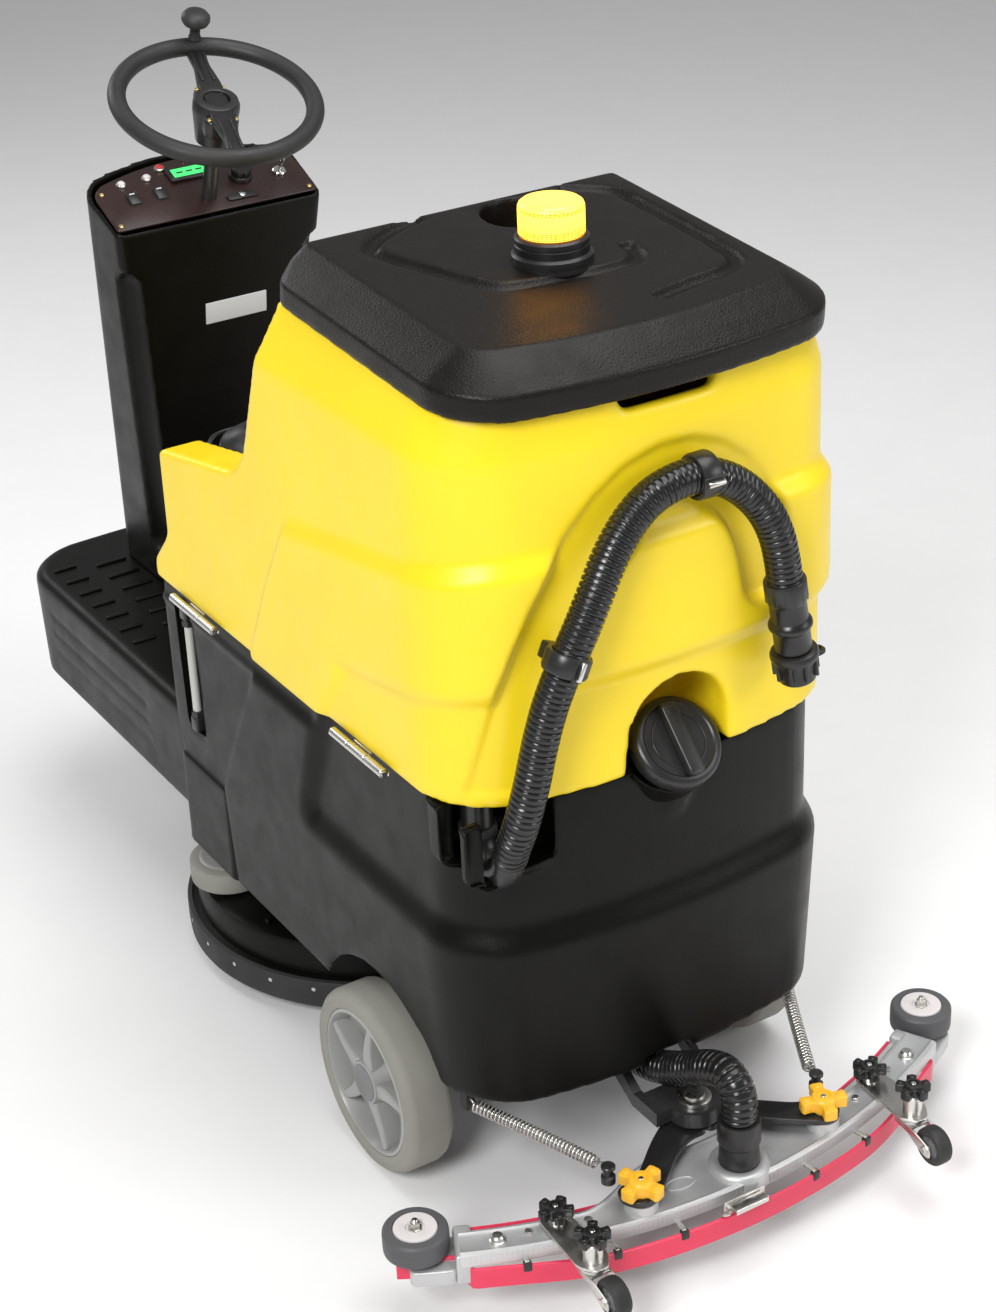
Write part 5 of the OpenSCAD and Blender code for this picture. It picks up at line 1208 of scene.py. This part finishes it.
def make_squeegee():
    def inner_r(a):
        return ARC_R - 44 - 54 * (1 - float(smooth01(np.float64((abs(a) - 6.5) / 9.0))))

    def plate(a):
        r0, r1 = inner_r(a), ARC_R - 0.2
        return [(r0, 98), (r0 + 0.8, 97), (r1, 97), (r1, 109), (r1 - 1.5, 111), (r1 - 5, 112),
                (r1 - 7, 110.6),
                (r1 - 10, 110), (r0 + 10, 110), (r0 + 7, 111), (r0 + 5, 112), (r0 + 1.5, 111.4), (r0, 109.5)]

    parts = [arc_strip("casting", 26.5, plate, ALUMINIUM)]
    parts.append(arc_strip("lip", 26.4, lambda a: [(ARC_R - 5, 93), (ARC_R - 0.2, 93), (ARC_R - 0.2, 109),
                                                   (ARC_R - 5, 109)], ALUMINIUM))
    parts.append(arc_strip("wall", 25.5, lambda a: [(CAST_IN + 8, 74), (CAST_IN + 14, 74), (CAST_IN + 14, 98),
                                                    (CAST_IN + 8, 98)], ALUMINIUM))
    for side in (-1, 1):
        end = arc_place(side * 28.8)
        shape = rounded_corners([(-28, ARC_R - 66), (28, ARC_R - 66), (28, ARC_R - 1.5), (-28, ARC_R - 1.5)],
                                10)
        parts.append(prism("end_box", shape, 66, 87.6, ALUMINIUM, 3, end))
        step = arc_place(side * 26.2)
        shape = rounded_corners([(-12, ARC_R - 60), (10, ARC_R - 60), (10, ARC_R - 1), (-12, ARC_R - 1)], 5)
        parts.append(prism("step", shape, 66, 108, ALUMINIUM, 4, step))
        stud = at(side * GUIDE_X, GUIDE_Y, 0)
        parts.append(turned("boss", [(1, 85), (17, 85), (14, 91.4), (1, 91.4)], stud, ALUMINIUM, 32))
        parts.append(turned("stud", [(1, 88), (5.8, 88), (5.8, 122), (1, 122)], stud, STEEL, 20))
        knob = at(side * KNOB_X, KNOB_Y, 0)
        parts.append(turned("pad", [(1, 108), (21, 108), (20, 123.6), (1, 123.6)], knob, ALUMINIUM, 36))
        parts.append(turned("stud", [(1, 110), (5.8, 110), (5.8, 147.4), (5.2, 148), (1, 148)], knob, STEEL,
                            20))
        bolt = at(side * 310, ARC_Y + ARC_R * math.cos(math.radians(22.6)) - 42 + 20, 0)
        parts.append(turned("bolt", [(1, 109), (10, 109), (10, 112), (8, 113), (8, 117), (6, 119.5),
                                     (1, 120)],
                            bolt, STEEL, 28))
        for k in (1, 2):
            spot = arc_place(side * (9.6 + 5.4 * k)) @ shift(0, ARC_R - 27, 0)
            parts.append(turned("bolt", [(1, 109), (5.4, 109), (5.4, 112.6), (4.4, 113.4), (1, 113.4)], spot,
                                STEEL, 6, 20))
    port = at(PORT_X, PORT_Y, 0)
    parts.append(turned("port", [(24.5, 96), (40, 96), (39, 110), (37, 115), (34, 117), (26, 117),
                                 (24.5, 116)],
                        port, ALUMINIUM, 56))
    oval = arc_place(5.6) @ shift(0, ARC_R - 42, 0)
    parts.append(ring_tube("emboss", 13, 1.0, oval @ shift(0, 0, 110.4) @
                           Matrix.Diagonal((1.5, 0.75, 1, 1)), ALUMINIUM, 64, 8))
    piece(joined("squeegee_body", *parts), "squeegee", "cast_aluminium", "squeegee_casting")

    def swell(a):
        """The rear blade bulges away from the casting between its ends."""
        middle_part = 1 - float(smooth01(np.float64((abs(a) - 12) / 13)))
        behind_box = float(smooth01(np.float64((abs(a) - 25.4) / 1.4)))
        return ARC_R + 16 * middle_part - 26 * behind_box

    def rear_blade(a):
        base = swell(a)
        return [(base + 0.2, 91), (base + 0.2, 78), (base + 0.6, 62), (base + 3.9, 62.4), (base + 4.2, 78),
                (base + 3.9, 90), (base + 2, 91)]

    blades = [arc_strip("blade", 32, rear_blade, PINK, 140),
              arc_strip("blade", 25.4, lambda a: [(CAST_IN + 4.2, 64), (CAST_IN + 7.8, 64), (CAST_IN + 7.8,
                                                                                             100),
                                                  (CAST_IN + 4.2, 100)], PINK, 110)]
    piece(joined("squeegee_blade_pair", *blades), "squeegee", "pink_rubber", "squeegee_blades")

    strip = [arc_strip("strap", 22.5, lambda a: [(swell(a) - 1.6, 72), (swell(a) - 0.1, 72), (swell(a) - 0.1,
                                                                                              88),
                                                 (swell(a) - 1.6, 88)], STEEL, 100)]
    for a in (-21, -12.5, -6, 7.5, 13.5, 21):
        spot, r = arc_place(a), swell(a)
        strip.append(block("clip", -5, 5, r - 3, r + 5.4, 82, 94, BLACK, 1.4, spot))
        strip.append(block("clip", -3, 3, ARC_R - 6, r + 2, 91.5, 94.5, STEEL, 0.8, spot))
    for side in (-1, 1):
        points = rounded_corners([(side * CASTER_X - 20, 336), (side * CASTER_X + 16, 336),
                                  (side * CASTER_X + 20, 400),
                                  (side * CASTER_X + 22, 432), (side * CASTER_X + 8, 453),
                                  (side * CASTER_X - 8, 453),
                                  (side * CASTER_X - 22, 432), (side * CASTER_X - 22, 400)], 9)
        bridge = prism("caster_plate", points, 112.2, 116, STEEL, 0.8)
        cut(bridge, cylinder_z(6.4, side * CASTER_X, 432, 105, 125, 32))
        strip.append(shade(bridge, 30))
    piece(joined("squeegee_straps", *strip), "squeegee", "bright_steel", "squeegee_hardware")

    arm = []
    for side in (-1, 1):
        shape = rounded_corners([(0, 272), (side * 34, 284), (side * 74, 312), (side * 120, 352),
                                 (side * 160, 362),
                                 (side * 163, 384), (side * 146, 403), (side * 122, 400), (side * 60, 348),
                                 (side * 26, 330), (0, 332)], 13)
        limb = prism("limb", shape, 124, 132, FRAME_BLACK, 1.5)
        cut(limb, cylinder_z(6.4, side * 137, 383, 118, 140, 32))
        arm.append(shade(limb, 30))
        arm.append(turned("lug", [(1, 131), (9, 131), (9, 140), (6, 142), (6, 150), (9, 152), (9, 155),
                                  (8, 156),
                                  (1, 156)], at(side * 157, 343, 0), FRAME_BLACK, 28))
    pin = at(0, 300, 0)
    arm.append(turned("pin", [(1, 130), (11.8, 130), (11.8, 158.6), (22, 158.6), (22, 163), (20, 164),
                              (14, 164),
                              (13, 167), (1, 167)], pin, STEEL, 40))
    piece(joined("squeegee_yoke", *arm), "squeegee", "black_steel", "squeegee_arm")

    place = at(20, ARC_Y + ARC_R + 7, 0)
    latch = [block("plate", -30, 30, 3, 5, 84, 107, STEEL, 0.8, place),
             turned("bar", [(1, -34), (3, -34), (3, 34), (1, 34)],
                    place @ shift(0, 6, 88) @ spin(90, "Y"),
                    STEEL, 16),
             block("lever", -24, 24, 6, 21, 100.6, 103.4, STEEL, 1, place),
             block("lip", -24, 24, 18.6, 21.6, 97, 103, STEEL, 1, place),
             turned("eye", [(2.6, -1), (6, -1), (6, 1), (2.6, 1)],
                    place @ shift(30, 8, 96), STEEL, 24)]
    for x in (-18, 18):
        latch.append(block("rod", x - 1.5, x + 1.5, 4.5, 7.5, 86, 102, STEEL, 0.8, place))
    piece(joined("blade_latch_lever", *latch), "blade_latch", "bright_steel", "blade_latch")


def star_knob(name, lobes, r, z0, z1, place, material, stud=None):
    """A lobed hand knob with a raised boss."""
    corners = []
    half = r * 0.30
    for k in range(lobes):
        a = 2 * math.pi * k / lobes
        for x, y in ((r * 0.5, -half * 0.8), (r * 0.93, -half), (r, -half * 0.55), (r, half * 0.55),
                     (r * 0.93, half),
                     (r * 0.5, half * 0.8)):
            corners.append((x * math.cos(a) - y * math.sin(a), x * math.sin(a) + y * math.cos(a)))
    shape = rounded_corners(corners, r * 0.14, 4)
    body = prism(name, shape, z0, z1, material, 1.6, place)
    boss = turned("boss", [(1, z0 - 4), (r * 0.42, z0 - 4), (r * 0.5, z0), (r * 0.52, z1),
                           (r * 0.46, z1 + 2.4),
                           (r * 0.3, z1 + 3), (r * 0.28, z1 + 1.2), (1, z1 + 1.2)], place, material, 32)
    parts = [body, boss]
    for k in range(lobes):
        spot = place @ share_of_turn(k, lobes)
        parts.append(turned("pad", [(0.2, z1 - 1), (r * 0.17, z1 - 1), (r * 0.17, z1 + 0.9),
                                    (r * 0.12, z1 + 1.5),
                                    (0.2, z1 + 1.5)], spot @ shift(r * 0.76, 0, 0), material, 20))
    if stud:
        parts.append(turned("stud", [(0.2, z1), (3.4, z1), (3.4, stud - 0.6), (2.8, stud), (0.2, stud)],
                            place, STEEL, 20))
    return joined(name, *parts)


def make_knobs():
    for name, side in (("left", 1), ("right", -1)):
        place = at(side * KNOB_X, KNOB_Y, 0) @ spin(18 * side)
        knob = star_knob("star_" + name, 4, 30, 136.6, 152, place, ORANGE, stud=155)
        piece(knob, "yellow_knob_" + name, "orange_plastic", "yellow_knob_" + name)
    knobs = []
    for side in (-1, 1):
        place = at(side * CASTER_X, CASTER_Y, 0) @ spin(20)
        knobs.append(star_knob("knob", 5, 22, 145, 156.6, place, BLACK, stud=160))
        riser = at(side * CASTER_X, CASTER_Y, 0)
        knobs.append(turned("riser", [(6.6, 116.2), (12, 116.2), (12, 142), (10, 144.4), (6.6, 144.4)], riser,
                            STEEL, 28))
        place = at(side * 237, 350, 0)
        knobs.append(star_knob("knob", 5, 22, 124.4, 136, place, BLACK, stud=139.2))
        knobs.append(turned("collar", [(1, 116.2), (9, 116.2), (9, 125), (1, 125)], place, STEEL, 28))
    piece(joined("plate_knob_set", *knobs), "squeegee", "black_plastic", "plate_knobs")


# ---------------------------------------------------------------- filler, sight tube, hinges, deck

def make_filler():
    place = toward(put(-10, 248, 634), (0, 1, 1))
    disc = turned("filler_disc", [(1, -5.4), (55.4, -5.4), (56, -4), (56, 12), (54, 15), (50, 17.6), (46, 18),
                                  (44, 16.6),
                                  (1, 16.6)], place, BLACK, 72)
    plug = turned("plug", [(38, -26), (44, -26), (44.6, -24), (44.6, -5), (38, -5)], place, BLACK, 48)
    handle = prism("handle", rounded_corners([(-11, -46), (11, -46), (11, 46), (-11, 46)], 8), 15, 29.6,
                   BLACK, 3.5, place)
    flutes = [block("flute", 53, 56, -2.2, 2.2, -3, 12, BLACK, 0.8, place @ share_of_turn(k, 20))
              for k in range(20)]
    ridge = [ring_tube("ridge", 34, 1.2, place @ shift(0, 0, 16.8), BLACK, 72, 8)]
    cap = joined("filler_cap_body", disc, plug, handle, *flutes, *ridge)
    piece(cap, "filler_cap", "black_plastic", "filler_cap")


def make_sight_tube():
    x, y = 265, -491
    place = at(x, y, 0)
    tube = turned("tube", [(4.6, 424), (6, 424), (6, 580), (4.6, 580)], place, CLEAR, 28)
    parts = [tube]
    for z in (404, 576):
        parts.append(block("fitting", -14, 8, -9, 9, z, z + 23, BLACK, 3, place))
        parts.append(turned("nut", [(6.2, z + (23 if z < 500 else -9)), (9, z + (23 if z < 500 else -9)),
                                    (9, z + (32 if z < 500 else 0)), (6.2, z + (32 if z < 500 else 0))],
                            place, BLACK, 6, 20))
    ball = turned("float", [(0.2, 500), (3.4, 501), (4.4, 504), (3.4, 507), (0.2, 508)], place, RED_MARK, 20,
                  60)
    piece(joined("sight_tube_assembly", *parts, ball), "machine", "clear_tube", "sight_tube")


def make_hinges():
    for node, body, shares in (("tank_hinge_pins", "machine", ((0, 1), (2, 3))), ("tank_hinges",
                                                                                  "recovery_tank",
                                                                                  ((1, 2),))):
        parts = []
        for start in (-482, -37):
            for a, b in shares:
                y0, y1 = start + 125 * a / 3 + 0.8, start + 125 * b / 3 - 0.8
                up = 1 if body == "recovery_tank" else -1
                place = at(287, y0, SEAM) @ spin(-90, "X")
                parts.append(turned("knuckle", [(3.4, 0), (5.4, 0), (6, 0.8), (6, y1 - y0 - 0.8),
                                                (5.4, y1 - y0),
                                                (3.4, y1 - y0)], place, STEEL, 24))
                z0, z1 = sorted((SEAM + up * 1.5, SEAM + up * 6))
                parts.append(block("leaf", 278.5, 281, y0, y1, z0, z1, STEEL, 0.8))
            if body == "machine":
                place = at(287, start - 2, SEAM) @ spin(-90, "X")
                parts.append(turned("pin", [(0.2, 0), (3.6, 0), (3.9, 0.8), (3.9, 128.2), (3.6, 129),
                                            (0.2, 129)],
                                    place, STEEL, 20))
        if body == "recovery_tank":
            parts.append(cylinder_x(3.9, -62, 62, LID_FRONT - 9, RIM - 2, 24))
            for side in (-1, 1):
                parts.append(block("bracket", side * 56 - 4.6, side * 56 + 4.6, LID_FRONT - 15,
                                   LID_FRONT - 2.4,
                                   RIM - 23, RIM + 3, STEEL, 1.5))
                parts.append(block("bracket", side * 56 - 4.6, side * 56 + 4.6, LID_FRONT - 4, LID_FRONT + 8,
                                   RIM - 23, RIM - 8, STEEL, 1.5))
        for part in parts:
            part.data.materials.clear()
            part.data.materials.append(STEEL)
        piece(joined(node + "_detailed", *parts), body, "bright_steel", node)


def make_deck():
    deck = at(0, DECK_Y, 0)
    low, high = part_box("deck_skirt")
    outer = (high.x - low.x) / 2 / MM
    deck_top = round(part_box("deck_roller")[0].z / MM) - 4
    skirt = turned("skirt", [(outer - 7, 22), (outer - 3, 22), (outer - 1, 24), (outer, 40), (outer, 62),
                             (outer - 1.5, 65),
                             (outer - 7, 66)], deck, RUBBER, 120)
    parts = [skirt]
    for k in range(26):
        spot = deck @ share_of_turn(k, 26) @ shift(outer - 2, 0, 52) \
            @ spin(90, "Y")
        parts.append(turned("screw", [(0.2, 0), (4, 0), (4, 1.4), (3, 2), (0.2, 2)], spot, STEEL, 16))
    piece(joined("deck_skirt_band", *parts), "brush_deck", "black_rubber", "deck_skirt")

    wall = outer - 17
    top = turned("deck_pan", [(wall - 5, 56), (wall + 9.6, 56), (wall + 9.6, 64), (wall, 66),
                              (wall, deck_top - 12),
                              (wall - 4, deck_top - 4), (wall - 14, deck_top), (32, deck_top),
                              (30, deck_top - 6),
                              (wall - 18, deck_top - 6), (wall - 5, deck_top - 14)], deck, BLACK_SHELL, 120)
    parts = [top]
    for k in range(8):
        spot = deck @ share_of_turn(k + 0.5, 8)
        parts.append(block("rib", 84, wall - 16, -3, 3, deck_top - 1, deck_top + 9, BLACK_SHELL, 1.5, spot))
    roller = at(217, -546, 0)
    parts.append(turned("stud", [(0.2, deck_top - 2), (7.8, deck_top - 2), (7.8, deck_top + 42),
                                 (7, deck_top + 44),
                                 (0.2, deck_top + 44)], roller, STEEL, 24))
    rod = at(0, -330, 0)
    parts.append(turned("rod", [(0.2, deck_top - 1), (7.8, deck_top - 1), (7.8, deck_top + 109),
                                (0.2, deck_top + 109)],
                        rod, STEEL, 28))
    piece(joined("deck_pan", *parts), "brush_deck", "black_steel", "deck_housing")

    base = deck_top + 4
    tyre = turned("roller_tyre", [(42, base), (55, base), (57.4, base + 2), (58, base + 6), (58, base + 28),
                                  (57.4, base + 32), (54, base + 34), (44, base + 34)], roller, TYRE, 72)
    disc = turned("disc", [(8.4, base), (43, base), (44, base + 34), (42, base + 35.4), (38, base + 36),
                           (20, base + 34.4),
                           (14, base + 36), (8.4, base + 36)], roller, HUB, 56)
    piece(joined("deck_roller_wheel", tyre, disc), "deck_roller", "grey_tyre", "deck_roller")

    block_part = turned("brush_block", [(14.6, 62), (249, 62), (250, 64), (250, 78), (248, 80), (40, 80),
                                        (40, 93),
                                        (38, 94), (14.6, 94)], deck, BATTERY, 96)
    tufts = []
    for ring_r in (110, 140, 170, 200, 230):
        count = round(2 * math.pi * ring_r / 26)
        for k in range(count):
            spot = deck @ share_of_turn(k + ring_r * 0.37, count) @ \
                shift(ring_r, 0, 0)
            tufts.append(([spot @ Vector((r * MM * math.cos(a), r * MM * math.sin(a), z * MM))
                           for a in [2 * math.pi * j / 8 for j in range(8)]] for r, z in ((7, 63), (8.4, 45),
                                                                                          (9.6, 22.4))))
    points, faces = [], []
    for tuft in tufts:
        start = len(points)
        for ring in tuft:
            points += ring
        faces += [(start + i * 8 + j, start + i * 8 + (j + 1) % 8, start + (i + 1) * 8 + (j + 1) % 8,
                   start + (i + 1) * 8 + j) for i in range(2) for j in range(8)]
        faces += [tuple(start + 16 + j for j in range(8)), tuple(start + 7 - j for j in range(8))]
    bristles = made_from("bristles", points, faces, BRISTLE)
    outward(bristles)
    piece(joined("brush_disc", block_part, bristles), "brush", "brush_poly", "brush")


def paint_frame():
    for node, material in {
            "chassis_frame": FRAME_BLACK, "battery_pack": BATTERY, "steering_gearbox": CAST,
            "deck_lift": FRAME_BLACK, "vacuum_motor": CAST, "lid_seal": RUBBER,
            "drive_fork": CAST, "brush_motor": CAST, "squeegee_bracket": FRAME_BLACK}.items():
        repaint(node, material)


make_drain_hose()
make_vacuum_hose()
make_springs()
make_steering()
make_console()
make_beacon()
make_rear_wheel("rear_wheel_left", 1)
make_rear_wheel("rear_wheel_right", -1)
make_small_wheels()
make_squeegee()
make_knobs()
make_filler()
make_sight_tube()
make_hinges()
make_deck()
paint_frame()


# ---------------------------------------------------------------- light, floor and the end

def make_light(name, place, aim, size, power):
    light = bpy.data.lights.new(name, "AREA")
    light.shape = "RECTANGLE"
    light.size, light.size_y = size
    light.energy = power
    obj = bpy.data.objects.new(name, light)
    obj.matrix_world = toward(Vector(place), Vector(place) - Vector(aim))
    bpy.context.collection.objects.link(obj)


def make_stage():
    floor = made_from("floor", [(-14, -14, 0), (14, -14, 0), (14, 14, 0), (-14, 14, 0)], [(0, 1, 2, 3)],
                      finish("floor", (0.90, 0.90, 0.90), 0.8, 40, 0.02, 0.01, 0.03, wear=0.0, specular=0.2),
                      False)
    world = bpy.data.worlds.new("studio")
    bpy.context.scene.world = world
    world.use_nodes = True
    world.node_tree.nodes["Background"].inputs["Color"].default_value = (1, 1, 1, 1)
    world.node_tree.nodes["Background"].inputs["Strength"].default_value = 0.30
    make_light("key", (3.2, 2.6, 3.6), (0, 0.1, 0.6), (1.6, 1.6), 165)
    make_light("top", (-0.6, 0.6, 4.2), (0, 0, 0.6), (3.0, 3.0), 110)
    make_light("fill", (-2.8, 3.4, 2.2), (0, 0.2, 0.5), (1.8, 1.4), 42)
    make_light("front", (1.0, -3.6, 2.6), (0, -0.3, 0.6), (2.0, 1.6), 30)


make_stage()
